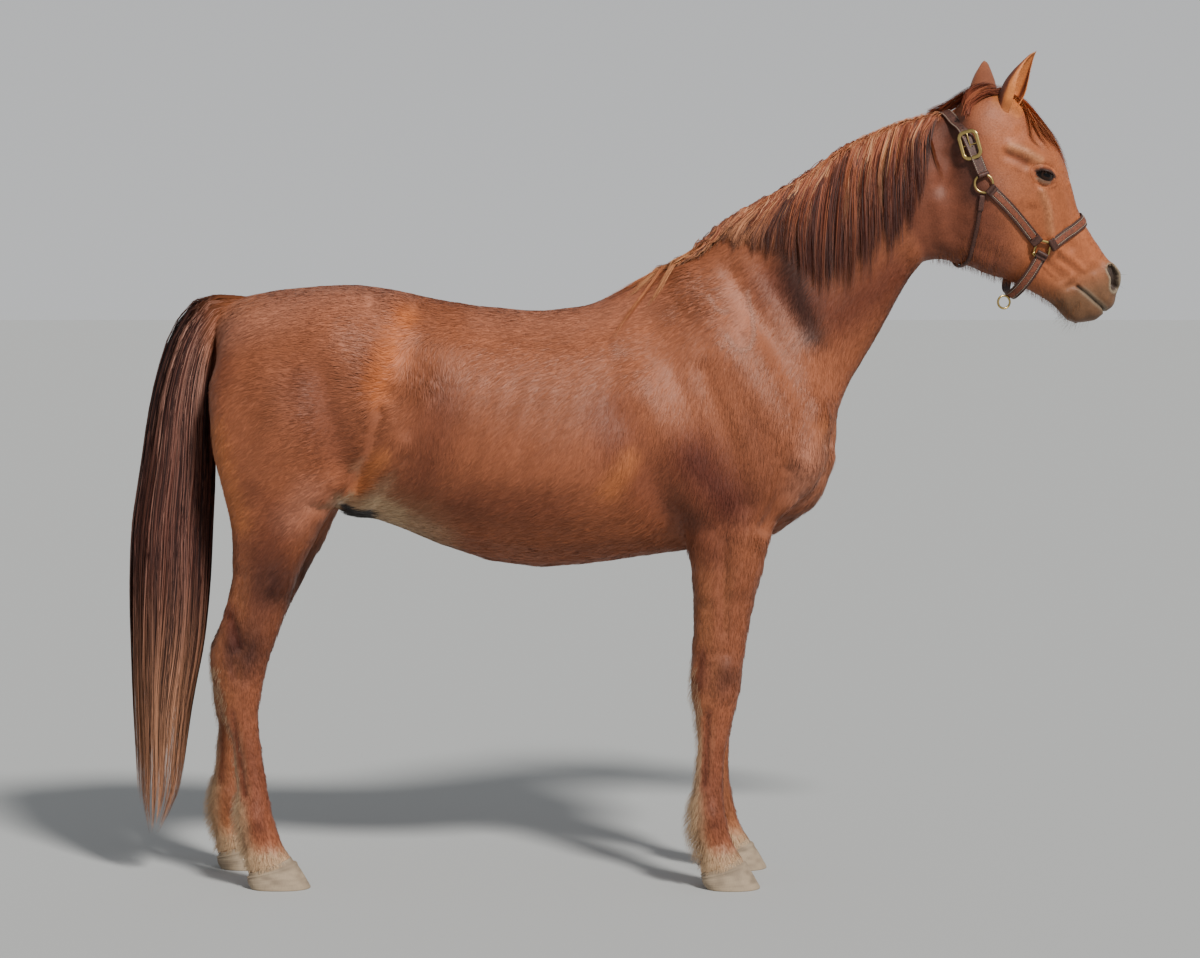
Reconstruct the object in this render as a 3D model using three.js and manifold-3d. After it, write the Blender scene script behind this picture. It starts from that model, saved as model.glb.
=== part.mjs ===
// A life-size standing horse: a chestnut Arabian gelding of about 1.5 m at the withers,
// wearing a leather halter, as a still model.
//
// The flesh is modelled whole, as lofts joined into one solid, and then parted by thin cuts
// into the pieces that a person would name. Hooves, eyes, ears, mane, forelock, tail hair and
// the halter are solids of their own that meet the flesh with a small gap.
//
// Axes while modelling: +X is forwards, +Y is the horse's left, +Z is up, in millimetres, with
// the soles at Z = 0. At the end the whole group is moved so that its origin is the middle of
// the bottom of its bounding box.
//
// A loft is a list of stations. Each station is a closed section through two edge points that
// lie in the side view: `near` is its top or front edge and `far` its bottom or rear edge.

import * as THREE from 'three';
import { mergeVertices } from 'three/addons/utils/BufferGeometryUtils.js';
import Module from 'manifold-3d';

const wasm = await Module();
wasm.setup();

// ---------------------------------------------------------------- driving dimensions
const CUT_GAP = 0.4;            // width of the thin cuts between neighbouring pieces
const COAT_CLEARANCE = 0.8;     // between the flesh and what lies on it
const MANE_DEPTH = 20;
const FORELOCK_DEPTH = 11;
const STRAP_DEPTH = 4;
const STRAP_WIDTH = 27;
const THROATLATCH_WIDTH = 10;
const BUCKLE_LIFT = 9.5;        // from the flesh to the middle of the buckle's frame

const LEG_SPREAD = 134;         // from the middle plane to the middle of each hoof
const FORE_ELBOW_CUT = 776;     // heights of the cuts across the legs
const FORE_KNEE_CUT = 420;
const HIND_STIFLE_CUT = 800;
const HIND_HOCK_CUT = 448;
const FETLOCK_CUT = 196;
const SHOULDER_CUT = 60;        // how far forward the cuts across the trunk stand
const FLANK_CUT = -440;
const TAIL_CUT = 800;

const EYE_RADIUS = 23;
const EAR_LENGTH = 158;
const EAR_WALL = 4.5;
const EAR_HOLLOW_START = 0.16;   // as a share of the ear's length

// How many sides the section of each loft has.
const SIDES = { trunk: 18, neck: 14, head: 16, leg: 10, hoof: 14, ear: 8, dock: 6, tail: 10 };

const COAT = { color: 0x9c5634, roughness: 0.62, metalness: 0 };
const HAIR = { color: 0x7a3d26, roughness: 0.7, metalness: 0 };
const HORN = { color: 0x8d7b69, roughness: 0.6, metalness: 0 };
const EYE = { color: 0x1c120c, roughness: 0.1, metalness: 0 };
const LEATHER = { color: 0x6b4334, roughness: 0.55, metalness: 0 };
const BRASS = { color: 0xc0a468, roughness: 0.3, metalness: 1 };

// ---------------------------------------------------------------- solids and booleans
function solid(geometry) {
  const bare = geometry.clone();
  bare.deleteAttribute('normal');
  bare.deleteAttribute('uv');
  const merged = mergeVertices(bare, 1e-3);
  const mesh = new wasm.Mesh({
    numProp: 3,
    vertProperties: new Float32Array(merged.attributes.position.array),
    triVerts: new Uint32Array(merged.index.array),
  });
  return new wasm.Manifold(mesh);
}

function geometryOf(manifold) {
  const mesh = manifold.getMesh();
  const geometry = new THREE.BufferGeometry();
  geometry.setAttribute('position', new THREE.BufferAttribute(mesh.vertProperties, 3));
  geometry.setIndex(new THREE.BufferAttribute(mesh.triVerts, 1));
  return geometry;
}

function joined(solids) {
  return solids.reduce((whole, piece) => whole.add(piece));
}

// The largest body of a solid, without the slivers that a cut may leave beside it.
function largest(manifold) {
  const bodies = manifold.decompose();
  return bodies.reduce((best, body) => (body.volume() > best.volume() ? body : best));
}

function boxSolid(xMin, xMax, yMin, yMax, zMin, zMax) {
  const box = new THREE.BoxGeometry(xMax - xMin, yMax - yMin, zMax - zMin);
  box.translate((xMin + xMax) / 2, (yMin + yMax) / 2, (zMin + zMax) / 2);
  return solid(box);
}

function ellipsoid(radii) {
  return new THREE.SphereGeometry(1, 10, 6).scale(...radii);
}

// ---------------------------------------------------------------- lofts
// One section, as points [x, y, z]: two half superellipses that meet where it is widest.
function ringPoints(station, sides, grow) {
  const { near, far, half, centre = 0, widest = 0.5, nearPower = 2, farPower = 2 } = station;
  const length = Math.hypot(near[0] - far[0], near[1] - far[1]);
  const up = [(near[0] - far[0]) / length, (near[1] - far[1]) / length];
  const nearReach = length * widest + grow;
  const farReach = length * (1 - widest) + grow;
  const middle = [near[0] - up[0] * length * widest, near[1] - up[1] * length * widest];
  const points = [];
  for (let i = 0; i < sides; i += 1) {
    const angle = (2 * Math.PI * i) / sides;
    const power = 2 / (Math.cos(angle) > 0 ? nearPower : farPower);
    const along = Math.sign(Math.cos(angle)) * Math.abs(Math.cos(angle)) ** power;
    const aside = Math.sign(Math.sin(angle)) * Math.abs(Math.sin(angle)) ** power;
    const reach = along > 0 ? nearReach : farReach;
    points.push([
      middle[0] + up[0] * reach * along,
      centre + (half + grow) * aside,
      middle[1] + up[1] * reach * along,
    ]);
  }
  return points;
}

// Rings of equal count joined by faces, with a fan of faces at each end.
function skinOver(rings) {
  const sides = rings[0].length;
  const last = rings.length - 1;
  const points = [...rings.flat(), ringCentre(rings[0]), ringCentre(rings[last])];
  const startCap = rings.length * sides;
  const faces = [];
  for (let i = 0; i < sides; i += 1) {
    const j = (i + 1) % sides;
    for (let ring = 0; ring < last; ring += 1) {
      const a = ring * sides + i;
      const b = ring * sides + j;
      faces.push(a, b, a + sides, b, b + sides, a + sides);
    }
    faces.push(startCap, j, i);
    faces.push(startCap + 1, last * sides + i, last * sides + j);
  }
  const geometry = new THREE.BufferGeometry();
  geometry.setAttribute('position', new THREE.Float32BufferAttribute(points.flat(), 3));
  geometry.setIndex(faces);
  return facingOut(geometry);
}

function facingOut(geometry) {
  const { array } = geometry.attributes.position;
  const index = geometry.index.array;
  let volume = 0;
  for (let f = 0; f < index.length; f += 3) {
    const [a, b, c] = [0, 1, 2].map((k) => new THREE.Vector3().fromArray(array, index[f + k] * 3));
    volume += a.dot(b.cross(c));
  }
  if (volume < 0) {
    for (let f = 0; f < index.length; f += 3) {
      const swap = index[f + 1];
      index[f + 1] = index[f + 2];
      index[f + 2] = swap;
    }
  }
  return geometry;
}

// A solid through all its stations, larger all round, ends included, by `grow`.
function loft(stations, sides, grow = 0) {
  const rings = stations.map((station) => ringPoints(station, sides, grow));
  const last = rings.length - 1;
  const startPush = pushFrom(rings[1], rings[0], grow);
  const endPush = pushFrom(rings[last - 1], rings[last], grow);
  rings[0] = rings[0].map((point) => sum(point, startPush));
  rings[last] = rings[last].map((point) => sum(point, endPush));
  return skinOver(rings);
}


// The move that carries an end ring outwards, away from its neighbour, by a distance.
function pushFrom(neighbour, end, distance) {
  const step = new THREE.Vector3(...ringCentre(end)).sub(new THREE.Vector3(...ringCentre(neighbour)));
  return step.setLength(distance).toArray();
}

function sum(a, b) {
  return a.map((value, axis) => value + b[axis]);
}

function ringCentre(ring) {
  return [0, 1, 2].map((axis) => ring.reduce((total, point) => total + point[axis], 0) / ring.length);
}

// Stations across a part that runs along X, given by its top and bottom heights.
function across(x, top, bottom, half, more = {}) {
  return { near: [x, top], far: [x, bottom], half, ...more };
}

// Stations across a leg, given by its front and rear edges at one height.
function level(z, front, rear, half, centre, more = {}) {
  return { near: [front, z], far: [rear, z], half, centre, ...more };
}

// ---------------------------------------------------------------- trunk and neck
const TRUNK = [
  across(-900, 1322, 1120, 84),
  across(-872, 1368, 1050, 150),
  across(-820, 1391, 975, 194, { nearPower: 2.2 }),
  across(-740, 1404, 915, 226, { nearPower: 2.2, widest: 0.45 }),
  across(-650, 1411, 893, 240, { nearPower: 2.2, widest: 0.42 }),
  across(-560, 1414, 868, 243, { nearPower: 2.1, widest: 0.42 }),
  across(-470, 1400, 836, 236, { nearPower: 2.0, widest: 0.46 }),
  across(-375, 1379, 797, 243, { nearPower: 1.9, widest: 0.52 }),
  across(-260, 1363, 759, 256, { nearPower: 1.85, widest: 0.55 }),
  across(-140, 1354, 743, 262, { nearPower: 1.8, widest: 0.56 }),
  across(-20, 1369, 753, 257, { nearPower: 1.7, widest: 0.57 }),
  across(80, 1426, 767, 238, { nearPower: 1.5, widest: 0.58 }),
  across(160, 1473, 778, 214, { nearPower: 1.4, widest: 0.58, farPower: 1.9 }),
  across(240, 1510, 788, 200, { nearPower: 1.35, widest: 0.57, farPower: 1.8 }),
  across(330, 1486, 799, 193, { nearPower: 1.5, widest: 0.56, farPower: 1.8 }),
  across(420, 1390, 822, 182, { nearPower: 1.7, farPower: 1.8 }),
  across(500, 1262, 884, 152, { farPower: 1.9 }),
  across(545, 1170, 985, 100),
  across(560, 1115, 1040, 44),
];

// The crest is `near` and the windpipe side is `far`.
const NECK = [
  { near: [196, 1462], far: [500, 960], half: 156, nearPower: 1.5, widest: 0.6 },
  { near: [252, 1538], far: [552, 1076], half: 138, nearPower: 1.5, widest: 0.6 },
  { near: [320, 1590], far: [590, 1180], half: 118, nearPower: 1.5, widest: 0.6 },
  { near: [400, 1630], far: [632, 1248], half: 101, nearPower: 1.6, widest: 0.58 },
  { near: [480, 1680], far: [676, 1326], half: 91, nearPower: 1.6, widest: 0.56 },
  { near: [565, 1742], far: [716, 1404], half: 84, nearPower: 1.7, widest: 0.55 },
  { near: [655, 1783], far: [755, 1462], half: 79, nearPower: 1.8, widest: 0.53 },
  { near: [742, 1814], far: [806, 1472], half: 76, nearPower: 1.9, widest: 0.52 },
  { near: [815, 1822], far: [858, 1452], half: 74, nearPower: 2.0, widest: 0.5 },
  { near: [872, 1826], far: [912, 1470], half: 66, nearPower: 2.0, widest: 0.5 },
];

// ---------------------------------------------------------------- legs
// The forelegs begin inside the shoulder and the hind legs inside the croup.
const FORELEG = [
  level(1430, 250, 140, 22, 46),
  level(1350, 372, 104, 50, 86),
  level(1250, 472, 90, 66, 118),
  level(1150, 535, 92, 75, 131),
  level(1060, 548, 108, 79, 134),
  level(980, 522, 128, 79, 134),
  level(910, 468, 160, 73, 134),
  level(855, 412, 194, 64, LEG_SPREAD),
  level(797, 392, 203, 58, LEG_SPREAD),
  level(747, 383, 213, 54, LEG_SPREAD),
  level(690, 366, 217, 50, LEG_SPREAD),
  level(640, 355, 217, 47, LEG_SPREAD),
  level(590, 346, 216, 44, LEG_SPREAD),
  level(545, 339, 215, 42, LEG_SPREAD),
  level(500, 334, 211, 44, LEG_SPREAD),
  level(460, 329, 212, 42, LEG_SPREAD),
  level(425, 321, 219, 35, LEG_SPREAD),
  level(380, 309, 226, 28, LEG_SPREAD),
  level(320, 295, 227, 26, LEG_SPREAD),
  level(260, 290, 223, 26, LEG_SPREAD),
  level(220, 290, 217, 29, LEG_SPREAD),
  level(180, 295, 211, 35, LEG_SPREAD),
  level(150, 300, 213, 35, LEG_SPREAD),
  level(118, 308, 222, 31, LEG_SPREAD),
  level(88, 322, 236, 33, LEG_SPREAD),
  { near: [340, 61], far: [236, 28], half: 45, centre: LEG_SPREAD },
];

const HINDLEG = [
  level(1330, -620, -820, 56, 96),
  level(1275, -572, -880, 82, 122),
  level(1200, -547, -912, 96, 142),
  level(1110, -541, -918, 103, 150),
  level(1030, -556, -911, 102, 152),
  level(960, -582, -893, 97, 149),
  level(905, -606, -876, 88, 144),
  level(850, -645, -863, 77, 138),
  level(790, -678, -857, 65, LEG_SPREAD),
  level(740, -702, -859, 57, LEG_SPREAD),
  level(690, -718, -868, 51, LEG_SPREAD),
  level(640, -735, -882, 47, LEG_SPREAD),
  level(590, -753, -899, 43, LEG_SPREAD),
  level(545, -770, -916, 42, LEG_SPREAD),
  level(505, -781, -910, 43, LEG_SPREAD),
  level(460, -791, -896, 41, LEG_SPREAD),
  level(410, -799, -885, 33, LEG_SPREAD),
  level(350, -795, -863, 27, LEG_SPREAD),
  level(285, -786, -856, 26, LEG_SPREAD),
  level(220, -776, -853, 28, LEG_SPREAD),
  level(175, -768, -857, 36, LEG_SPREAD),
  level(140, -757, -851, 35, LEG_SPREAD),
  level(110, -748, -843, 31, LEG_SPREAD),
  level(84, -735, -834, 34, LEG_SPREAD),
  { near: [-716, 61], far: [-829, 28], half: 44, centre: LEG_SPREAD },
];

// Each hoof starts just under the slanted coronet and widens to a flat sole.
const HOOF_SHAPE = { nearPower: 2.2, farPower: 2.6, centre: LEG_SPREAD };
const FORE_HOOF = [
  { near: [341, 61 - CUT_GAP], far: [236, 28 - CUT_GAP], half: 47, ...HOOF_SHAPE },
  { near: [359, 32], far: [238, 15], half: 55, ...HOOF_SHAPE },
  { near: [377, 0], far: [248, 0], half: 61, ...HOOF_SHAPE },
];
const HIND_HOOF = [
  { near: [-715, 61 - CUT_GAP], far: [-829, 28 - CUT_GAP], half: 46, ...HOOF_SHAPE },
  { near: [-697, 32], far: [-828, 15], half: 52, ...HOOF_SHAPE },
  { near: [-679, 0], far: [-820, 0], half: 57, ...HOOF_SHAPE },
];

// The left feet stand a little apart from the right ones: the fore foot further forward and
// the hind foot further back, by an amount that fades out towards the top of the leg.
const FORE_STAGGER = { foot: 28, top: 0, from: 130, to: 860 };
const HIND_STAGGER = { foot: -100, top: 14, from: 130, to: 780 };
const STAGGER_FADE = 200;

function staggerAt(z, { foot, top, from, to }) {
  const { clamp, lerp } = THREE.MathUtils;
  const leg = lerp(foot, top, clamp((z - from) / (to - from), 0, 1));
  return leg * (1 - clamp((z - to) / STAGGER_FADE, 0, 1));
}

function legStations(stations, side, stagger) {
  return stations.map((station) => {
    const shift = side > 0 ? staggerAt(station.near[1], stagger) : 0;
    return {
      ...station,
      near: [station.near[0] + shift, station.near[1]],
      far: [station.far[0] + shift, station.far[1]],
      centre: side * station.centre,
    };
  });
}

const LEGS = {
  fore_right: { side: -1, stations: FORELEG, hoof: FORE_HOOF, stagger: FORE_STAGGER },
  fore_left: { side: 1, stations: FORELEG, hoof: FORE_HOOF, stagger: FORE_STAGGER },
  hind_right: { side: -1, stations: HINDLEG, hoof: HIND_HOOF, stagger: HIND_STAGGER },
  hind_left: { side: 1, stations: HINDLEG, hoof: HIND_HOOF, stagger: HIND_STAGGER },
};

function legFlesh({ side, stations, stagger }, grow) {
  return solid(loft(legStations(stations, side, stagger), SIDES.leg, grow));
}

function hoof({ side, hoof: stations, stagger }) {
  return solid(loft(legStations(stations, side, stagger), SIDES.hoof));
}

// ---------------------------------------------------------------- head
// The head has a frame of its own: `down` runs from the poll to the lips along the face, `out`
// to the horse's right, and `deep` from the face to the jaw. It is turned a little to the left.
const POLL = new THREE.Vector3(935, 0, 1850);
const HEAD_YAW = THREE.MathUtils.degToRad(16);
const FACE_SLOPE = THREE.MathUtils.degToRad(57.3);

const facing = new THREE.Vector3(Math.cos(HEAD_YAW), Math.sin(HEAD_YAW), 0);
const headOut = new THREE.Vector3(Math.sin(HEAD_YAW), -Math.cos(HEAD_YAW), 0);
const headDown = facing.clone().multiplyScalar(Math.cos(FACE_SLOPE));
headDown.z = -Math.sin(FACE_SLOPE);
const headDeep = facing.clone().multiplyScalar(-Math.sin(FACE_SLOPE));
headDeep.z = -Math.cos(FACE_SLOPE);
const HEAD_FRAME = new THREE.Matrix4().makeBasis(headDown, headOut, headDeep).setPosition(POLL);

const HEAD = [
  { near: [-44, 66], far: [40, 190], half: 52, widest: 0.4 },
  { near: [-36, 14], far: [120, 232], half: 76, widest: 0.4, nearPower: 2.1 },
  { near: [-6, -24], far: [200, 276], half: 86, widest: 0.38, nearPower: 2.1, farPower: 2.2 },
  { near: [50, -46], far: [257, 283], half: 92, widest: 0.34, nearPower: 2.2, farPower: 2.3 },
  { near: [110, -54], far: [297, 270], half: 96, widest: 0.3, nearPower: 2.3, farPower: 2.3 },
  { near: [165, -57], far: [325, 254], half: 98, widest: 0.28, nearPower: 2.4, farPower: 2.2 },
  { near: [215, -54], far: [349, 235], half: 89, widest: 0.3, nearPower: 2.4, farPower: 2.1 },
  { near: [260, -44], far: [371, 213], half: 79, widest: 0.34, nearPower: 2.3, farPower: 1.9 },
  { near: [310, -32], far: [397, 195], half: 67, widest: 0.4, nearPower: 2.2, farPower: 1.9 },
  { near: [360, -28], far: [424, 177], half: 57, widest: 0.44, nearPower: 2.1, farPower: 2 },
  { near: [410, -31], far: [454, 159], half: 50, widest: 0.46, nearPower: 2.1, farPower: 2 },
  { near: [455, -34], far: [482, 146], half: 48, widest: 0.46, nearPower: 2.2, farPower: 2.1 },
  { near: [497, -34], far: [507, 137], half: 49, widest: 0.46, nearPower: 2.3, farPower: 2.2 },
  { near: [534, -24], far: [534, 133], half: 47, widest: 0.46, nearPower: 2.3, farPower: 2.2 },
  { near: [560, -6], far: [558, 116], half: 39, widest: 0.46 },
  { near: [573, 18], far: [573, 88], half: 24, widest: 0.5 },
];

// Places on the head are [down, out, deep] on its right side; the left side mirrors them.
const BROW = { at: [144, 74, 36], radii: [56, 24, 19], tilt: 0.52 };
const NOSTRIL_RIM = { at: [500, 35, -10], radii: [38, 18, 29] };
const NOSTRIL_POCKET = { at: [506, 58, -8], radii: [19, 14, 9], tilt: -0.7 };
const EYE_AT = [197, 84, 30];

function onHead(geometry) {
  return solid(geometry.applyMatrix4(HEAD_FRAME));
}

function mirrored([down, out, deep], side) {
  return [down, side * out, deep];
}

function headLump({ at, radii, tilt = 0 }, side, grow) {
  const lump = ellipsoid(radii.map((radius) => radius + grow)).rotateY(tilt);
  return onHead(lump.translate(...mirrored(at, side)));
}

function headFlesh(grow) {
  const parts = [onHead(loft(HEAD, SIDES.head, grow))];
  for (const side of [1, -1]) {
    for (const lump of [BROW, NOSTRIL_RIM]) parts.push(headLump(lump, side, grow));
  }
  return joined(parts);
}

function eyeball(side, grow) {
  const ball = new THREE.SphereGeometry(EYE_RADIUS + grow, 12, 7);
  return onHead(ball.translate(...mirrored(EYE_AT, side)));
}

// ---------------------------------------------------------------- ears
// An ear is a cupped shell about an axis from its base to its tip. `opens` is the direction
// that its hollow faces. All three are in the head's own frame, and so differ from side to side.
const EARS = {
  ear_right: { base: [26, 50, 22], tip: [-54, 62, -112], opens: [0.37, 0.5, -0.77] },
  ear_left: { base: [14, -48, 36], tip: [-64, -125, -64], opens: [0, -1, 0] },
};

const EAR_OUTLINE = [
  { near: [20, 0], far: [-22, 0], half: 22 },
  { near: [24, 0.18 * EAR_LENGTH], far: [-27, 0.18 * EAR_LENGTH], half: 31 },
  { near: [23, 0.38 * EAR_LENGTH], far: [-29, 0.38 * EAR_LENGTH], half: 35 },
  { near: [16, 0.58 * EAR_LENGTH], far: [-23, 0.58 * EAR_LENGTH], half: 30 },
  { near: [8, 0.78 * EAR_LENGTH], far: [-13, 0.78 * EAR_LENGTH], half: 19 },
  { near: [5, 0.93 * EAR_LENGTH], far: [-5, 0.93 * EAR_LENGTH], half: 9 },
  { near: [7, EAR_LENGTH], far: [3, EAR_LENGTH], half: 2 },
];

// Moves a shape made about the ear's own axis, hollow side towards +X, to its place.
function placedEar(geometry, { base, tip, opens }) {
  const start = new THREE.Vector3(...base);
  const axis = new THREE.Vector3(...tip).sub(start).normalize();
  const open = new THREE.Vector3(...opens);
  open.addScaledVector(axis, -open.dot(axis)).normalize();
  const frame = new THREE.Matrix4().makeBasis(open, axis.clone().cross(open), axis);
  return onHead(geometry.applyMatrix4(frame.setPosition(start)));
}

function ear(place) {
  const outer = solid(loft(EAR_OUTLINE, SIDES.ear));
  const hollow = loft(EAR_OUTLINE, SIDES.ear, -EAR_WALL);
  hollow.translate(EAR_WALL * 2.6, 0, EAR_HOLLOW_START * EAR_LENGTH);
  return placedEar(geometryOf(outer.subtract(solid(hollow))), place);
}

// The space that hair keeps clear of round an ear.
function earRoom(place) {
  return placedEar(loft(EAR_OUTLINE, SIDES.ear, COAT_CLEARANCE), place);
}

// ---------------------------------------------------------------- sheath, tail, whole flesh
const SHEATH = { at: [-560, 0, 890], radii: [62, 42, 34] };

const DOCK = [
  { near: [-800, 1388], far: [-790, 1320], half: 34 },
  { near: [-880, 1391], far: [-846, 1325], half: 30 },
  { near: [-945, 1372], far: [-893, 1318], half: 27 },
  { near: [-992, 1318], far: [-938, 1284], half: 24 },
  { near: [-1026, 1226], far: [-972, 1212], half: 17 },
];

const TAIL = [
  { near: [-902, 1399], far: [-853, 1340], half: 36 },
  { near: [-962, 1388], far: [-884, 1296], half: 40 },
  { near: [-1010, 1322], far: [-906, 1248], half: 45 },
  { near: [-1044, 1226], far: [-925, 1182], half: 50 },
  { near: [-1070, 1118], far: [-929, 1098], half: 56 },
  { near: [-1093, 970], far: [-925, 968], half: 60 },
  { near: [-1113, 845], far: [-927, 845], half: 62 },
  { near: [-1120, 700], far: [-931, 700], half: 60 },
  { near: [-1116, 560], far: [-950, 560], half: 54 },
  { near: [-1110, 425], far: [-985, 430], half: 45 },
  { near: [-1105, 295], far: [-1002, 300], half: 35 },
  { near: [-1101, 180], far: [-1010, 195], half: 23 },
  { near: [-1078, 100], far: [-1054, 104], half: 9 },
];

function sheath(grow) {
  const lump = ellipsoid(SHEATH.radii.map((radius) => radius + grow));
  return solid(lump.translate(...SHEATH.at));
}

function dock(grow) {
  return solid(loft(DOCK, SIDES.dock, grow));
}

function tailHair() {
  return solid(loft(TAIL, SIDES.tail));
}

// The whole body without hooves, ears, eyes and hair, larger all round by `grow`.
function bodyFlesh(grow) {
  return joined([
    solid(loft(TRUNK, SIDES.trunk, grow)),
    solid(loft(NECK, SIDES.neck, grow)),
    sheath(grow),
    headFlesh(grow),
    ...Object.values(LEGS).map((leg) => legFlesh(leg, grow)),
  ]);
}

// ---------------------------------------------------------------- cuts
// Everything behind a plane, given by a point on it and the direction that it faces. It stops
// half a cut's width short of the plane.
function behind(point, normal) {
  const size = 6000;
  const block = new THREE.BoxGeometry(size, size, size).translate(0, 0, -size / 2 - CUT_GAP / 2);
  const turn = new THREE.Quaternion().setFromUnitVectors(
    new THREE.Vector3(0, 0, 1),
    normal.clone().normalize(),
  );
  return solid(block.applyQuaternion(turn).translate(point.x, point.y, point.z));
}

function splitBy(body, point, normal) {
  const back = body.intersect(behind(point, normal));
  const front = body.intersect(behind(point, normal.clone().negate()));
  return [back, front];
}

const X = new THREE.Vector3(1, 0, 0);
const Z = new THREE.Vector3(0, 0, 1);

// The neck parts from the trunk along a line from the withers to the breast, and from the head
// along one from the crest, behind the halter, to the throat.
const NECK_BASE = { point: new THREE.Vector3(236, 0, 1517), normal: new THREE.Vector3(417, 0, 324) };
const THROAT = { down: -60, deep: 138, slope: 0.46 };

function headPlane() {
  const point = new THREE.Vector3(THROAT.down, 0, THROAT.deep).applyMatrix4(HEAD_FRAME);
  const normal = new THREE.Vector3(THROAT.slope, 0, -1).transformDirection(HEAD_FRAME);
  return [point, normal];
}

// Below its cut, each leg is what lies on its side of the middle and within its reach along X.
const LEG_REACH = { fore: [175, 460], hind: [-1060, -520] };

function legRegion(name, top) {
  const [xMin, xMax] = LEG_REACH[name.startsWith('fore') ? 'fore' : 'hind'];
  const [yMin, yMax] = LEGS[name].side < 0 ? [-400, -1] : [1, 400];
  return boxSolid(xMin, xMax, yMin, yMax, -100, top);
}

const LEG_CUTS = {
  fore: { top: FORE_ELBOW_CUT, joint: FORE_KNEE_CUT, upper: 'forearm' },
  hind: { top: HIND_STIFLE_CUT, joint: HIND_HOCK_CUT, upper: 'gaskin' },
};

function legPieces(flesh, name) {
  const { top, joint, upper } = LEG_CUTS[name.startsWith('fore') ? 'fore' : 'hind'];
  const leg = flesh.intersect(legRegion(name, top - CUT_GAP / 2));
  const [belowJoint, aboveJoint] = splitBy(leg, new THREE.Vector3(0, 0, joint), Z);
  const [pastern, cannon] = splitBy(belowJoint, new THREE.Vector3(0, 0, FETLOCK_CUT), Z);
  return {
    [`${name}_${upper}`]: aboveJoint,
    [`${name}_cannon`]: cannon,
    [`${name}_pastern`]: pastern,
  };
}

function fleshPieces(flesh) {
  const pieces = {};
  let rest = flesh;
  for (const name of Object.keys(LEGS)) {
    Object.assign(pieces, legPieces(flesh, name));
    const { top } = LEG_CUTS[name.startsWith('fore') ? 'fore' : 'hind'];
    rest = rest.subtract(legRegion(name, top + CUT_GAP / 2));
  }
  const [body, head] = splitBy(rest, ...headPlane());
  const [trunk, neck] = splitBy(body, NECK_BASE.point, NECK_BASE.normal);
  const [middleAndRear, fore] = splitBy(trunk, new THREE.Vector3(SHOULDER_CUT, 0, 0), X);
  const [rear, middle] = splitBy(middleAndRear, new THREE.Vector3(FLANK_CUT, 0, 0), X);
  return { head, neck, forequarters: fore, barrel: middle, hindquarters: rear, ...pieces };
}

// ---------------------------------------------------------------- mane and forelock
// The mane lies on the horse's right and over the crest. This is its side view, in X and Z.
const MANE_OUTLINE = [
  [206, 1560], [420, 1720], [620, 1840], [806, 1880], [806, 1780], [784, 1650],
  [752, 1480], [700, 1360], [600, 1276], [480, 1290], [405, 1310], [330, 1490],
];
const MANE_REACH = { right: -300, left: 24 };

// The forelock falls from between the ears over the forehead, in `down` and `deep`.
const FORELOCK_OUTLINE = [[-6, 4], [-20, -90], [244, -90], [252, -48], [150, -24], [60, -4]];
const FORELOCK_REACH = { right: 60, left: -52 };

function manePrism() {
  const shape = new THREE.Shape(MANE_OUTLINE.map(([x, z]) => new THREE.Vector2(x, z)));
  const prism = new THREE.ExtrudeGeometry(shape, {
    depth: MANE_REACH.left - MANE_REACH.right, bevelEnabled: false,
  });
  prism.rotateX(Math.PI / 2);
  return solid(prism.translate(0, MANE_REACH.left, 0));
}

function forelockPrism() {
  const shape = new THREE.Shape(FORELOCK_OUTLINE.map(([down, deep]) => new THREE.Vector2(down, deep)));
  const prism = new THREE.ExtrudeGeometry(shape, {
    depth: FORELOCK_REACH.right - FORELOCK_REACH.left, bevelEnabled: false,
  });
  prism.rotateX(Math.PI / 2);
  return onHead(prism.translate(0, FORELOCK_REACH.right, 0));
}

// ---------------------------------------------------------------- halter
// Each strap is a band of leather that lies on the flesh along a straight line in the head's
// side view, from one [down, deep] point to another, and passes round the head.
const STRAPS = {
  halter_crown: { from: [-96, 107], to: [130, 162], width: STRAP_WIDTH },
  halter_noseband: { from: [349, 104], to: [354, -70], width: STRAP_WIDTH },
  halter_throatlatch: { from: [140, 176], to: [310, 302], width: THROATLATCH_WIDTH },
};
const CHEEK_STRAP = { from: [136, 161], to: [340, 119], width: STRAP_WIDTH };

// The chin strap hangs free from the square rings, under the jaw, to a ring in its middle.
// These are the places on its right half, from the square ring to the chin ring.
const CHIN_STRAP = [
  [354, 76, 128], [364, 74, 146], [378, 66, 170],
  [393, 49, 197], [404, 25, 216], [409, 0, 222],
];

const UPPER_RING = { at: [134, 166], radius: 21, wire: 3, corners: 10 };
const SQUARE_RING = { at: [342, 116], radius: 25, wire: 3, corners: 4 };
const CHIN_RING = { at: [414, 0, 242], radius: 15, wire: 2.6, corners: 10 };
const BUCKLE = { at: [44, 140], width: 40, length: 64, bar: 6, depth: 5, corner: 12 };
const RING_LIFT = 6.5;          // from the flesh to the middle of a ring's wire

// The block of space that a strap may fill: as wide as the strap, and right across the head.
function strapSlab({ from, to, width }) {
  const along = new THREE.Vector3(to[0] - from[0], 0, to[1] - from[1]);
  const slab = new THREE.BoxGeometry(along.length(), 700, width);
  slab.rotateY(-Math.atan2(along.z, along.x));
  return onHead(slab.translate((from[0] + to[0]) / 2, 0, (from[1] + to[1]) / 2));
}

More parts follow.
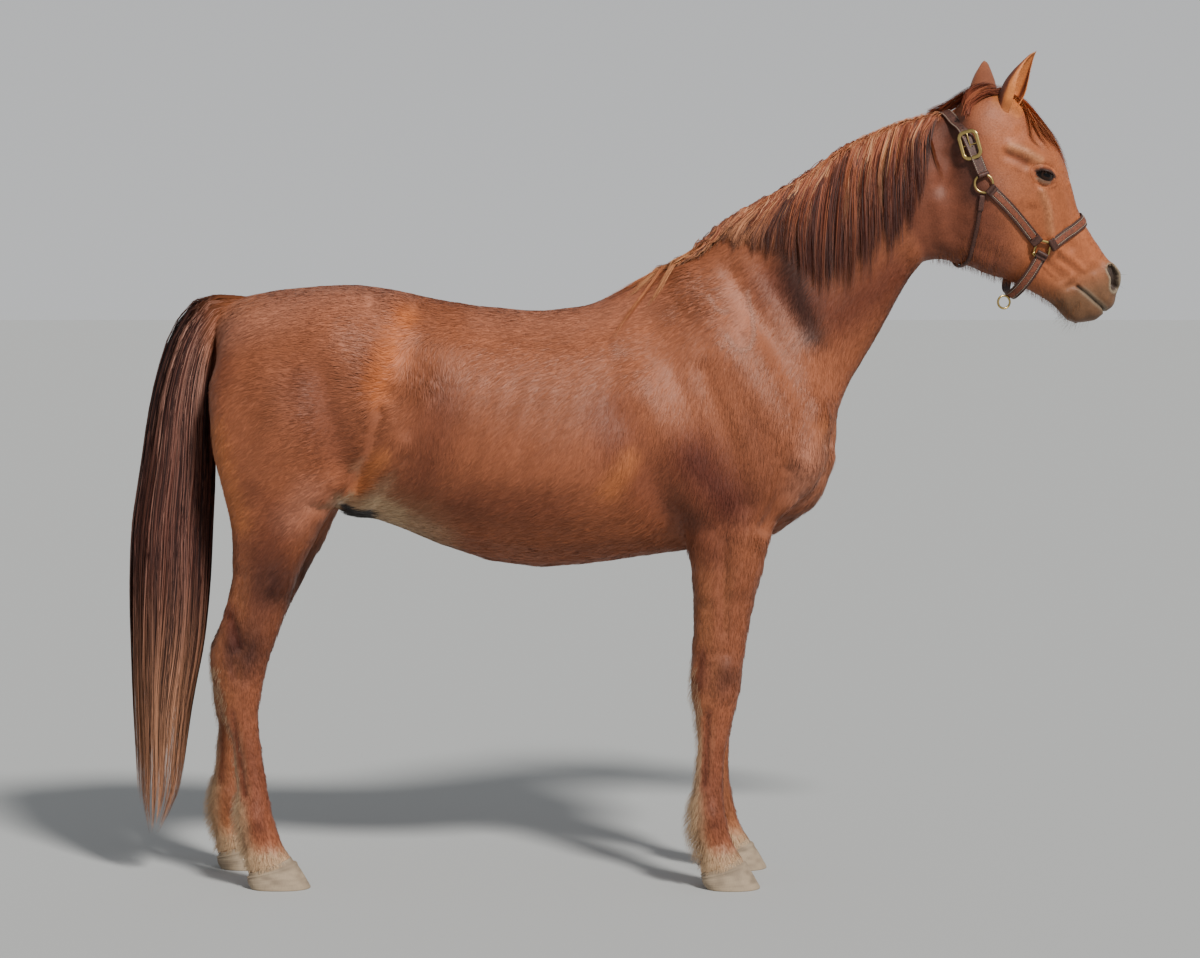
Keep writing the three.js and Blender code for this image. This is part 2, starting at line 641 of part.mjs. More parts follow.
// The point on the flesh at a place in the head's side view, and the mean direction that the
// flesh faces round it.
function seatOn(fleshMesh, [down, deep], side, spread) {
  const raycaster = new THREE.Raycaster();
  const hitAt = (d, p) => {
    const start = new THREE.Vector3(d, side * 300, p).applyMatrix4(HEAD_FRAME);
    const inwards = new THREE.Vector3(0, -side, 0).transformDirection(HEAD_FRAME);
    raycaster.set(start, inwards);
    return raycaster.intersectObject(fleshMesh)[0].point;
  };
  const acrossDown = hitAt(down + spread, deep).sub(hitAt(down - spread, deep));
  const acrossDeep = hitAt(down, deep + spread).sub(hitAt(down, deep - spread));
  const normal = acrossDown.cross(acrossDeep).normalize();
  const outwards = new THREE.Vector3(0, side, 0).transformDirection(HEAD_FRAME);
  if (normal.dot(outwards) < 0) normal.negate();
  return { point: hitAt(down, deep), normal };
}

// Places a fitting made in its own X-Y plane on a seat, its X axis along the given direction.
function seated(geometry, { point, normal }, lift, along) {
  const xAxis = along.clone().addScaledVector(normal, -along.dot(normal)).normalize();
  const frame = new THREE.Matrix4().makeBasis(xAxis, normal.clone().cross(xAxis), normal);
  frame.setPosition(point.clone().addScaledVector(normal, lift));
  return solid(geometry.applyMatrix4(frame));
}

// A flat strap through [down, out, deep] places, its width held square to its side view.
function chinStrap() {
  const left = CHIN_STRAP.slice(0, -1).reverse().map((place) => mirrored(place, -1));
  const path = new THREE.CatmullRomCurve3([...CHIN_STRAP, ...left].map((p) => new THREE.Vector3(...p)));
  const [start, end] = [CHIN_STRAP[0], CHIN_STRAP[CHIN_STRAP.length - 1]];
  const width = new THREE.Vector3(end[2] - start[2], 0, start[0] - end[0]).setLength(STRAP_WIDTH / 2);
  const steps = 12;
  const rings = [];
  for (let i = 0; i <= steps; i += 1) {
    const point = path.getPointAt(i / steps);
    const thick = path.getTangentAt(i / steps).cross(width).setLength(STRAP_DEPTH / 2);
    const corners = [[1, 1], [-1, 1], [-1, -1], [1, -1]];
    rings.push(corners.map(([w, t]) => (
      point.clone().addScaledVector(width, w).addScaledVector(thick, t).toArray())));
  }
  return onHead(skinOver(rings));
}

function inHeadView([down, deep]) {
  return new THREE.Vector3(down, 0, deep).transformDirection(HEAD_FRAME);
}

function ringGeometry({ radius, wire, corners }) {
  return new THREE.TorusGeometry(radius, wire, 5, corners);
}

function buckleGeometry({ width, length, bar, depth, corner }) {
  const frame = roundedRectangle(length, width, corner);
  frame.holes.push(roundedRectangle(length - 2 * bar, width - 2 * bar, corner - bar / 2));
  const plate = new THREE.ExtrudeGeometry(frame, { depth, bevelEnabled: false, curveSegments: 2 });
  return plate.translate(0, 0, -depth / 2);
}

function roundedRectangle(length, width, radius) {
  const [x, y] = [length / 2, width / 2];
  const outline = new THREE.Shape();
  outline.absarc(x - radius, y - radius, radius, 0, Math.PI / 2);
  outline.absarc(-x + radius, y - radius, radius, Math.PI / 2, Math.PI);
  outline.absarc(-x + radius, -y + radius, radius, Math.PI, 1.5 * Math.PI);
  outline.absarc(x - radius, -y + radius, radius, 1.5 * Math.PI, 2 * Math.PI);
  return outline;
}

// A disc round a ring that keeps the straps clear of it.
function ringRoom({ radius, wire }) {
  const room = new THREE.CylinderGeometry(radius + wire + 1, radius + wire + 1, 40, 16);
  return room.rotateX(Math.PI / 2);
}

function halterPieces(flesh, under, over) {
  const fleshMesh = new THREE.Mesh(geometryOf(flesh));
  const leather = over.subtract(under);
  const pieces = {};
  const rooms = [];
  for (const [name, side] of [['right', 1], ['left', -1]]) {
    const upperSeat = seatOn(fleshMesh, UPPER_RING.at, side, UPPER_RING.radius);
    const squareSeat = seatOn(fleshMesh, SQUARE_RING.at, side, SQUARE_RING.radius);
    const along = inHeadView([1, 0]);
    pieces[`halter_ring_${name}`] = seated(ringGeometry(UPPER_RING), upperSeat, RING_LIFT, along);
    pieces[`halter_square_${name}`] = seated(ringGeometry(SQUARE_RING), squareSeat, RING_LIFT, along);
    rooms.push(seated(ringRoom(UPPER_RING), upperSeat, 0, along));
    rooms.push(seated(ringRoom(SQUARE_RING), squareSeat, 0, along));
  }
  const room = joined(rooms);
  const middle = new THREE.Vector3(0, 0, 0).applyMatrix4(HEAD_FRAME);
  const [cheekLeft, cheekRight] = splitBy(leather.intersect(strapSlab(CHEEK_STRAP)), middle, headOut);
  pieces.halter_cheek_right = largest(cheekRight.subtract(room));
  pieces.halter_cheek_left = largest(cheekLeft.subtract(room));
  for (const [name, strap] of Object.entries(STRAPS)) {
    pieces[name] = largest(leather.intersect(strapSlab(strap)).subtract(room));
  }
  pieces.halter_chin_strap = largest(chinStrap().subtract(under).subtract(room));
  const chinRing = ringGeometry(CHIN_RING).rotateX(Math.PI / 2).translate(...CHIN_RING.at);
  pieces.halter_chin_ring = onHead(chinRing);
  const crownSlope = inHeadView([
    STRAPS.halter_crown.to[0] - STRAPS.halter_crown.from[0],
    STRAPS.halter_crown.to[1] - STRAPS.halter_crown.from[1],
  ]);
  const buckleSeat = seatOn(fleshMesh, BUCKLE.at, 1, BUCKLE.width / 2);
  pieces.halter_buckle = seated(buckleGeometry(BUCKLE), buckleSeat, BUCKLE_LIFT, crownSlope);
  return pieces;
}

// ---------------------------------------------------------------- the whole horse
function horsePieces() {
  const flesh = bodyFlesh(0);
  const clear = bodyFlesh(COAT_CLEARANCE);
  const pieces = fleshPieces(flesh);

  for (const [name, side] of [['right', 1], ['left', -1]]) {
    pieces.head = pieces.head.subtract(eyeball(side, CUT_GAP)).subtract(headLump(NOSTRIL_POCKET, side, 0));
    pieces[`eye_${name}`] = eyeball(side, 0);
  }
  for (const [name, shape] of Object.entries(EARS)) pieces[name] = largest(ear(shape).subtract(clear));
  for (const [name, leg] of Object.entries(LEGS)) pieces[`${name}_hoof`] = hoof(leg);

  pieces.tail_dock = largest(dock(0).subtract(clear));
  const tail = tailHair().subtract(clear).subtract(dock(COAT_CLEARANCE));
  const [lower, upper] = splitBy(tail, new THREE.Vector3(0, 0, TAIL_CUT), Z);
  pieces.tail_hair_upper = largest(upper);
  pieces.tail_hair_lower = largest(lower);

  Object.assign(pieces, halterPieces(flesh, clear, bodyFlesh(COAT_CLEARANCE + STRAP_DEPTH)));
  const ears = joined(Object.values(EARS).map(earRoom));
  const mane = bodyFlesh(MANE_DEPTH).subtract(clear).intersect(manePrism());
  pieces.mane = largest(mane.subtract(strapSlab({ ...STRAPS.halter_crown, width: STRAP_WIDTH + 2 })));
  const forelock = bodyFlesh(FORELOCK_DEPTH).subtract(clear).intersect(forelockPrism());
  pieces.forelock = largest(forelock.subtract(ears));
  return pieces;
}

function materialFor(name) {
  const rules = [
    [/hoof/, HORN],
    [/^eye/, EYE],
    [/^halter_(ring|square|buckle|chin_ring)/, BRASS],
    [/^halter/, LEATHER],
    [/hair|mane|forelock/, HAIR],
  ];
  const rule = rules.find(([pattern]) => pattern.test(name));
  return new THREE.MeshStandardMaterial(rule ? rule[1] : COAT);
}

const horse = new THREE.Group();
for (const [name, piece] of Object.entries(horsePieces())) {
  const mesh = new THREE.Mesh(geometryOf(piece), materialFor(name));
  mesh.name = name;
  horse.add(mesh);
}

// The origin is the middle of the bottom of the whole horse's box.
const bounds = new THREE.Box3().setFromObject(horse);
const middle = bounds.getCenter(new THREE.Vector3());
horse.position.set(-middle.x, -middle.y, -bounds.min.z);

export default horse;
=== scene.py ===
"""Looks for the life-size standing horse: a chestnut Arabian in a leather halter.

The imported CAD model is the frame. One skin stands for its flesh, and everything else is built
on that skin: eyelids, eyes, ears, hooves, the short coat in tufts, the mane, forelock, tail and
feathering in locks, and the halter.

Places on the body are side-view places (x, z) in metres, x forwards from the datum below the
middle of the back. Places on the head are (down, deep) in metres in the head's own frame:
down the face from the poll, and deep from the face towards the jaw. `out` is towards the
horse's right.
"""
import math
from contextlib import contextmanager

import bmesh
import bpy
import numpy as np
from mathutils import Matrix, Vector
from mathutils.bvhtree import BVHTree


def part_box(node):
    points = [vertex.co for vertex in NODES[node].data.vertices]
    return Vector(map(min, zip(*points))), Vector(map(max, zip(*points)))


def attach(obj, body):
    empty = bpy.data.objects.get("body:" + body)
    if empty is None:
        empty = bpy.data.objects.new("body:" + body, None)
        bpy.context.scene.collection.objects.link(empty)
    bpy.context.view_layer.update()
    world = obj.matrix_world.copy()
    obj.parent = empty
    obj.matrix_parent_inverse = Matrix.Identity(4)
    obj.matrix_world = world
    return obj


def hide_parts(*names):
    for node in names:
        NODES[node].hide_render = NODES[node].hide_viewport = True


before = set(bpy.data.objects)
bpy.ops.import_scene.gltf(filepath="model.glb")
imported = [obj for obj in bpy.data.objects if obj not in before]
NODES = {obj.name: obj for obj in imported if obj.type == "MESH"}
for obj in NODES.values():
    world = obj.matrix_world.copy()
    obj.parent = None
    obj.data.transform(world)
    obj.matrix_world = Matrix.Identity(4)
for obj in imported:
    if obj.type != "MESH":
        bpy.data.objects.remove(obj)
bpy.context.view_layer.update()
SEED = 7

RIGHT, LEFT = -1, 1                # signs of y
SIDES = {"right": RIGHT, "left": LEFT}

# ---------------------------------------------------------------- driving sizes, in metres
MILLIMETRE = 0.001
SKIN_VOXEL = 0.0103                # the grain of the skin's first form
SEAL = 0.0006                      # how far each flesh node grows, to close the thin cuts
MIDDLE_X = -0.2                    # between the forelegs and the hind legs
POLL_FROM_DATUM = 0.935
FACE_SLOPE = math.radians(57.3)
EYE_DOWN, EYE_DEEP = 0.197, 0.030  # the eyes' place in the head's frame
EYE_RADIUS = 0.023

# The line from the crest to the throat where the head begins: its place and slope in the head's
# frame, and how deep the throat is.
HEAD_LINE = {"down": 0.060, "deep": 0.138, "slope": 0.46}
THROAT_DEPTH = (0.34, 0.37)

# How far the left feet stand from the right ones, fading out up the leg.
FORE_STAGGER = {"foot": 0.028, "top": 0.0, "low": 0.130, "high": 0.860}
HIND_STAGGER = {"foot": -0.100, "top": 0.014, "low": 0.130, "high": 0.780}
STAGGER_FADE = 0.200


# ---------------------------------------------------------------- small maths
def unit(vectors):
    vectors = np.asarray(vectors, float)
    length = np.linalg.norm(vectors, axis=-1, keepdims=True)
    return vectors / np.maximum(length, 1e-12)


def smooth(low, high, values):
    """0 below low, 1 above high, and a smooth step between."""
    t = np.clip((np.asarray(values, float) - low) / (high - low), 0, 1)
    return t * t * (3 - 2 * t)


def mix(a, b, weight):
    return a + (np.asarray(b) - a) * weight


def blend(vectors, other, weight):
    """Mixes vectors or colours by one weight for each."""
    return vectors + (other - vectors) * np.asarray(weight, float)[..., None]


def node_centre(name):
    low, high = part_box(name)
    return np.array((low + high) / 2)


# ---------------------------------------------------------------- the head's frame
EYES = {"right": node_centre("eye_right"), "left": node_centre("eye_left")}
OUT = unit(EYES["right"] - EYES["left"])
FACING = np.array([-OUT[1], OUT[0], 0.0])
UP = np.array([0.0, 0.0, 1.0])
DOWN = FACING * math.cos(FACE_SLOPE) - UP * math.sin(FACE_SLOPE)
DEEP = -FACING * math.sin(FACE_SLOPE) - UP * math.cos(FACE_SLOPE)
POLL = (EYES["right"] + EYES["left"]) / 2 - DOWN * EYE_DOWN - DEEP * EYE_DEEP
DATUM = POLL[0] - POLL_FROM_DATUM


def head_place(points):
    """(down, out, deep) of points in the head's frame."""
    offset = np.asarray(points) - POLL
    return offset @ DOWN, offset @ OUT, offset @ DEEP


def from_head(down, out, deep):
    down, out, deep = (np.asarray(v, float)[..., None] for v in (down, out, deep))
    return POLL + down * DOWN + out * OUT + deep * DEEP


def head_share(points, low=-0.03, high=0.02):
    """1 on the head, 0 behind the line from the crest to the throat."""
    down, _, deep = head_place(points)
    ahead = down + HEAD_LINE["down"] + HEAD_LINE["slope"] * (HEAD_LINE["deep"] - deep)
    return smooth(low, high, ahead) * (1 - smooth(*THROAT_DEPTH, deep))


def stagger(z, foot, top, low, high):
    """How far forward of the right leg the left one is at a height."""
    leg = foot + (top - foot) * np.clip((z - low) / (high - low), 0, 1)
    return leg * (1 - np.clip((z - high) / STAGGER_FADE, 0, 1))


def body_place(points):
    """(x, z) of points from the datum, with the left legs' stagger taken out."""
    x = points[:, 0] - DATUM
    z = points[:, 2]
    left = points[:, 1] > 0
    shift = np.where(x > MIDDLE_X, stagger(z, **FORE_STAGGER), stagger(z, **HIND_STAGGER))
    return x - np.where(left, shift, 0), z


# ---------------------------------------------------------------- meshes as arrays
def add_object(name, mesh):
    piece = bpy.data.objects.new(name, mesh)
    bpy.context.scene.collection.objects.link(piece)
    return piece


def shade_smoothly(mesh):
    mesh.polygons.foreach_set("use_smooth", np.ones(len(mesh.polygons), bool))


def mesh_from(name, points, faces):
    """A mesh from an array of points and an array of faces that all have the same count."""
    points = np.asarray(points, np.float32)
    faces = np.asarray(faces, np.int32)
    mesh = bpy.data.meshes.new(name)
    mesh.vertices.add(len(points))
    mesh.vertices.foreach_set("co", points.ravel())
    sides = faces.shape[1]
    mesh.loops.add(faces.size)
    mesh.loops.foreach_set("vertex_index", faces.ravel())
    mesh.polygons.add(len(faces))
    mesh.polygons.foreach_set("loop_start", np.arange(len(faces), dtype=np.int32) * sides)
    mesh.update(calc_edges=True)
    mesh.validate()
    shade_smoothly(mesh)
    return mesh


def vectors_of(items, field):
    """One field of all the items of a mesh, as rows of three numbers."""
    values = np.empty(len(items) * 3, np.float32)
    items.foreach_get(field, values)
    return values.reshape(-1, 3).astype(float)


def indices_of(items, field, width):
    """One field of all the items of a mesh, as rows of indices."""
    values = np.empty(len(items) * width, np.int32)
    items.foreach_get(field, values)
    return values.reshape(-1, width)


def points_of(mesh):
    return vectors_of(mesh.vertices, "co")


def normals_of(mesh):
    return vectors_of(mesh.vertex_normals, "vector")


def face_centres(mesh):
    return vectors_of(mesh.polygons, "center")


def edges_of(mesh):
    return indices_of(mesh.edges, "vertices", 2)


def set_points(mesh, points):
    mesh.vertices.foreach_set("co", np.asarray(points, np.float32).ravel())
    mesh.update()


@contextmanager
def edited(mesh):
    """The mesh as a bmesh, written back to it at the end."""
    work = bmesh.new()
    work.from_mesh(mesh)
    yield work
    work.to_mesh(mesh)
    work.free()


def relax(points, edges, weight, rounds):
    """Moves each point towards the mean of its neighbours, by its weight, again and again."""
    count = len(points)
    a, b = edges.T
    valence = np.bincount(a, minlength=count) + np.bincount(b, minlength=count)
    for _ in range(rounds):
        mean = np.empty_like(points)
        for axis in range(3):
            total = np.bincount(a, weights=points[b, axis], minlength=count)
            total += np.bincount(b, weights=points[a, axis], minlength=count)
            mean[:, axis] = total / valence
        points = points + (mean - points) * weight[:, None]
    return points


# ---------------------------------------------------------------- curves
def along_path(path, t):
    """Points at shares t of a path's length, on a smooth curve through its places."""
    path = np.asarray(path, float)
    steps = np.linalg.norm(np.diff(path, axis=0), axis=1)
    at = np.concatenate([[0], np.cumsum(steps)]) / steps.sum()
    ends = [2 * path[0] - path[1], *path, 2 * path[-1] - path[-2]]
    tangents = (np.array(ends[2:]) - np.array(ends[:-2])) / 2
    t = np.asarray(t, float)
    i = np.clip(np.searchsorted(at, t, side="right") - 1, 0, len(steps) - 1)
    f = ((t - at[i]) / (at[i + 1] - at[i]))[..., None]
    a, b = path[i], path[i + 1]
    da, db = tangents[i], tangents[i + 1]
    return ((2 * f**3 - 3 * f**2 + 1) * a + (f**3 - 2 * f**2 + f) * da
            + (-2 * f**3 + 3 * f**2) * b + (f**3 - f**2) * db)


def tangents_of(spines):
    return unit(np.gradient(spines, axis=-2))


def sweep(rings, closed_path=False):
    """Points and faces of a skin over rings (count, sides, 3), each ring a closed loop."""
    rings = np.asarray(rings, float)
    count, sides, _ = rings.shape
    points = rings.reshape(-1, 3)
    rows = count if closed_path else count - 1
    i = np.arange(rows)[:, None]
    j = np.arange(sides)[None, :]
    here, there = i * sides, (i + 1) % count * sides
    right = (j + 1) % sides
    faces = np.stack([here + j, here + right, there + right, there + j], axis=-1).reshape(-1, 4)
    return points, faces


# ---------------------------------------------------------------- the skin's first form
LEGS = ("fore_right", "fore_left", "hind_right", "hind_left")
TRUNK_NODES = ("head", "neck", "forequarters", "barrel", "hindquarters", "tail_dock")
LEG_NODES = tuple(
    f"{leg}_{part}"
    for leg in LEGS
    for part in ("forearm" if leg.startswith("fore") else "gaskin", "cannon", "pastern")
)


SAME_PLACE = 1e-5                  # points nearer than this are one


def flesh_block():
    """All the flesh nodes in one mesh, each grown a little so that they overlap."""
    whole = bmesh.new()
    for name in TRUNK_NODES + LEG_NODES:
        part = bmesh.new()
        part.from_mesh(NODES[name].data)
        bmesh.ops.remove_doubles(part, verts=part.verts, dist=SAME_PLACE)
        bmesh.ops.recalc_face_normals(part, faces=part.faces)
        part.normal_update()
        for vert in part.verts:
            vert.co += vert.normal * SEAL
        grown = bpy.data.meshes.new("grown")
        part.to_mesh(grown)
        part.free()
        whole.from_mesh(grown)
        bpy.data.meshes.remove(grown)
    mesh = bpy.data.meshes.new("flesh_block")
    whole.to_mesh(mesh)
    whole.free()
    return mesh


def evaluated_mesh(piece, name):
    graph = bpy.context.evaluated_depsgraph_get()
    mesh = bpy.data.meshes.new_from_object(piece.evaluated_get(graph))
    mesh.name = name
    return mesh


def remeshed_flesh():
    block = add_object("flesh_block", flesh_block())
    remesh = block.modifiers.new("remesh", "REMESH")
    remesh.mode = "VOXEL"
    remesh.voxel_size = SKIN_VOXEL
    mesh = evaluated_mesh(block, "skin")
    bpy.data.objects.remove(block)
    return mesh


def largest_piece(mesh):
    """Deletes everything but the largest connected piece of a mesh."""
    points, edges = points_of(mesh), edges_of(mesh)
    label = np.arange(len(points))
    while True:
        low = np.minimum(label[edges[:, 0]], label[edges[:, 1]])
        new = label.copy()
        np.minimum.at(new, edges[:, 0], low)
        np.minimum.at(new, edges[:, 1], low)
        new = new[new]
        if (new == label).all():
            break
        label = new
    names, counts = np.unique(label, return_counts=True)
    keep = label == names[counts.argmax()]
    if keep.all():
        return
    with edited(mesh) as work:
        bmesh.ops.delete(work, geom=[v for v, k in zip(work.verts, keep) if not k], context="VERTS")


def softness(points):
    """How strongly each place of the skin is smoothed: most on the trunk, least on the legs."""
    x, z = body_place(points)
    weight = 0.05 + 0.62 * smooth(0.80, 0.96, z)
    weight = mix(weight, 0.45, smooth(0.50, 0.62, x))
    weight = mix(weight, 0.06, head_share(points, -0.02, 0.05))
    weight = mix(weight, 0.08, smooth(-0.91, -0.95, x) * smooth(1.15, 1.2, z))
    sheath = np.hypot(x + 0.56, z - 0.88)
    return mix(weight, 0.15, smooth(0.10, 0.06, sheath) * smooth(0.09, 0.07, np.abs(points[:, 1])))


def refined(mesh, chosen):
    """Splits each chosen face of the mesh into four."""
    with edited(mesh) as work:
        edges = {edge for face, pick in zip(work.faces, chosen) if pick for edge in face.edges}
        bmesh.ops.subdivide_edges(work, edges=list(edges), cuts=1, use_grid_fill=True)


# ---------------------------------------------------------------- sculpting
def distance_to_path(u, v, path):
    """Distance of the places (u, v) from a path of straight lines."""
    best = np.full(len(u), np.inf)
    if len(path) == 1:
        path = [path[0], path[0]]
    for (u0, v0), (u1, v1) in zip(path[:-1], path[1:]):
        du, dv = u1 - u0, v1 - v0
        t = ((u - u0) * du + (v - v0) * dv) / max(du * du + dv * dv, 1e-12)
        t = np.clip(t, 0, 1)
        best = np.minimum(best, np.hypot(u - u0 - t * du, v - v0 - t * dv))
    return best


def stroke_weight(u, v, path, radius):
    return smooth(1, 0, distance_to_path(u, v, path) / radius)


# Strokes on both flanks: a side-view path, its radius, and how far it lifts the skin, in mm.
BODY_STROKES = [
    # shoulder, breast and elbow
    ([(0.20, 1.43), (0.33, 1.22), (0.43, 1.06)], 0.050, 6),
    ([(0.31, 1.44), (0.42, 1.26), (0.50, 1.09)], 0.048, -11),
    ([(0.485, 0.985)], 0.075, 14),
    ([(0.10, 1.17), (0.17, 1.02), (0.23, 0.92)], 0.095, 15),
    ([(0.075, 1.10), (0.13, 0.95), (0.18, 0.85)], 0.075, -9),
    ([(0.24, 1.22), (0.31, 1.03), (0.34, 0.91)], 0.040, -7),
    ([(0.50, 0.935), (0.46, 0.89)], 0.050, 9),
    ([(0.385, 0.85), (0.42, 0.92), (0.44, 0.99)], 0.030, -12),
    # forearm, knee and cannon of the forelegs
    ([(0.335, 0.83), (0.325, 0.72)], 0.050, 8),
    ([(0.245, 0.82), (0.250, 0.70)], 0.040, 6),
    ([(0.290, 0.83), (0.287, 0.61)], 0.016, -5),
    ([(0.218, 0.510)], 0.026, 4),
    ([(0.300, 0.520)], 0.034, 5),
    ([(0.300, 0.455)], 0.026, 3),
    ([(0.262, 0.555), (0.300, 0.560)], 0.018, -3),
    ([(0.258, 0.53), (0.256, 0.45)], 0.014, -4),
    ([(0.252, 0.41), (0.246, 0.24)], 0.011, -5),
    ([(0.258, 0.170)], 0.028, 4),
    ([(0.275, 0.105)], 0.022, -3),
    # barrel, flank and hip
    ([(-0.45, 1.25), (-0.475, 1.17)], 0.090, -20),
    ([(-0.40, 1.33), (-0.25, 1.32)], 0.060, -4),
    ([(-0.475, 1.375)], 0.060, 15),
    ([(-0.62, 1.33)], 0.140, 9),
    ([(-0.455, 1.05), (-0.52, 0.95), (-0.56, 0.90)], 0.040, 11),
    ([(-0.500, 1.12), (-0.530, 1.02), (-0.570, 0.95)], 0.024, -9),
    # thigh, stifle and gaskin
    ([(-0.70, 1.10)], 0.150, 8),
    ([(-0.835, 1.24), (-0.800, 1.06), (-0.775, 0.92)], 0.070, -4),
    ([(-0.640, 1.22), (-0.605, 1.00)], 0.050, -5),
    ([(-0.590, 0.945)], 0.045, 9),
    ([(-0.615, 0.885), (-0.66, 0.90)], 0.026, -6),
    ([(-0.700, 0.85), (-0.745, 0.72)], 0.050, 7),
    ([(-0.856, 0.635), (-0.842, 0.570)], 0.022, -8),
    ([(-0.835, 0.74), (-0.850, 0.66)], 0.030, -4),
    # hock, hind cannon and fetlock
    ([(-0.800, 0.60), (-0.815, 0.53)], 0.030, 3),
    ([(-0.862, 0.565), (-0.848, 0.500)], 0.016, -5),
    ([(-0.83, 0.47)], 0.022, 3),
    ([(-0.858, 0.42), (-0.830, 0.22)], 0.011, -5),
    ([(-0.812, 0.160)], 0.028, 4),
    # neck
    ([(0.86, 1.47), (0.75, 1.36), (0.62, 1.17), (0.54, 1.05)], 0.034, -10),
    ([(0.80, 1.57), (0.68, 1.38), (0.57, 1.19), (0.47, 1.02)], 0.055, 9),
    ([(0.38, 1.45), (0.46, 1.32)], 0.065, -12),
    ([(0.82, 1.44), (0.90, 1.50)], 0.035, 5),
]


RIB_COUNT, FIRST_RIB, RIB_STEP = 7, 0.02, 0.058
RIB_RADIUS, RIB_LIFT = 0.020, 1.3


def ribs():
    """Faint ribs: slanted strokes over the barrel, one behind the other."""
    tops = [FIRST_RIB - rib * RIB_STEP for rib in range(RIB_COUNT)]
    return [([(x, 1.20), (x - 0.045, 1.05), (x - 0.07, 0.92)], RIB_RADIUS, RIB_LIFT) for x in tops]


# Strokes seen from in front (1) or behind (-1): which way, a path of (|y|, z), radius and lift.
END_STROKES = [
    (1, [(0.0, 1.12), (0.0, 0.90)], 0.035, -14),
    (1, [(0.075, 1.00), (0.065, 0.92)], 0.060, 12),
    (-1, [(0.0, 1.28), (0.0, 0.96)], 0.040, -26),
    (-1, [(0.10, 1.16)], 0.085, 8),
]

# Strokes on both sides of the head, as (down, deep) paths.
HEAD_STROKES = [
    ([(0.096, 0.066), (0.120, 0.044), (0.148, 0.028), (0.170, 0.018)], 0.024, 6.5),
    ([(0.106, 0.082), (0.130, 0.064), (0.150, 0.056)], 0.020, -5),
    ([(0.085, 0.020), (0.125, 0.000)], 0.026, -4),
    ([(0.226, 0.056), (0.268, 0.062), (0.318, 0.080), (0.345, 0.086)], 0.015, 6.5),
    ([(0.240, 0.026), (0.330, 0.044), (0.380, 0.050)], 0.026, -6),
    ([(0.255, 0.100), (0.320, 0.122)], 0.030, -4),
    ([(0.385, 0.020), (0.440, 0.020)], 0.030, 4),
    ([(0.190, 0.165)], 0.095, 8),
    ([(0.245, 0.120), (0.300, 0.150)], 0.040, -4),
    ([(0.120, 0.270), (0.200, 0.300), (0.262, 0.278), (0.300, 0.245)], 0.028, 5),
    ([(0.050, 0.190), (0.090, 0.235)], 0.030, -7),
    ([(0.255, -0.020), (0.340, -0.006), (0.440, -0.012)], 0.016, 4),
    ([(0.372, 0.078), (0.413, 0.059), (0.450, 0.046)], 0.011, 4),
    ([(0.388, 0.092), (0.420, 0.076), (0.452, 0.064)], 0.009, -3.5),
    ([(0.381, 0.130), (0.405, 0.122), (0.433, 0.111)], 0.007, 2.5),
    ([(0.340, 0.140), (0.400, 0.120), (0.450, 0.100)], 0.026, -4),
    ([(0.452, 0.116), (0.500, 0.128)], 0.024, 4),
    ([(0.458, 0.070), (0.466, 0.088), (0.464, 0.104)], 0.010, -4),
    ([(0.446, 0.078), (0.450, 0.098)], 0.010, 3),
    ([(0.545, 0.118)], 0.028, 5),
    ([(0.505, 0.140), (0.490, 0.135)], 0.018, -6),
    ([(0.478, 0.030), (0.530, 0.036)], 0.020, 4),
]

# Finer strokes round the mouth and nostrils, which also reach across the front of the lips.
MOUTH = [(0.474, 0.080), (0.500, 0.070), (0.530, 0.060), (0.556, 0.049), (0.580, 0.042)]
NOSTRIL = [(0.487, -0.014), (0.506, -0.012), (0.527, 0.000)]
NOSTRIL_RIM = {"radius": 0.024, "lift": 4.5}
NOSTRIL_HOLE = {"edge": 0.0125, "floor": 0.0070, "sink": 5, "inwards": 0.016, "up": 0.010}
NOSE_FRONT = 0.018                 # half the width of the nose's front, between the nostrils
FINE_STROKES = [
    ([(0.545, 0.030), (0.565, 0.020)], 0.022, 3),
    ([(0.545, 0.080), (0.568, 0.070)], 0.020, 3),
    (MOUTH, 0.0062, -8),
    ([(0.470, 0.084)], 0.012, -3),
]


def sculpt_body(points, normals):
    x, z = body_place(points)
    sideways = smooth(0.10, 0.45, np.abs(normals[:, 1])) * (normals[:, 1] * points[:, 1] > 0)
    sideways = sideways * (1 - head_share(points))
    lift = np.zeros(len(points))
    for path, radius, height in BODY_STROKES + ribs():
        lift += sideways * stroke_weight(x, z, path, radius) * height
    for way, path, radius, height in END_STROKES:
        facing = smooth(0.05, 0.5, normals[:, 0] * way) * (x * way > 0)
        lift += facing * stroke_weight(np.abs(points[:, 1]), z, path, radius) * height
    return points + normals * (lift * MILLIMETRE)[:, None]


def sculpt_head(points, normals):
    down, out, deep = head_place(points)
    sideways = smooth(0.15, 0.5, (normals @ OUT) * np.sign(out)) * head_share(points)
    lift = np.zeros(len(points))
    for path, radius, height in HEAD_STROKES:
        lift += sideways * stroke_weight(down, deep, path, radius) * height
    return points + normals * (lift * MILLIMETRE)[:, None]


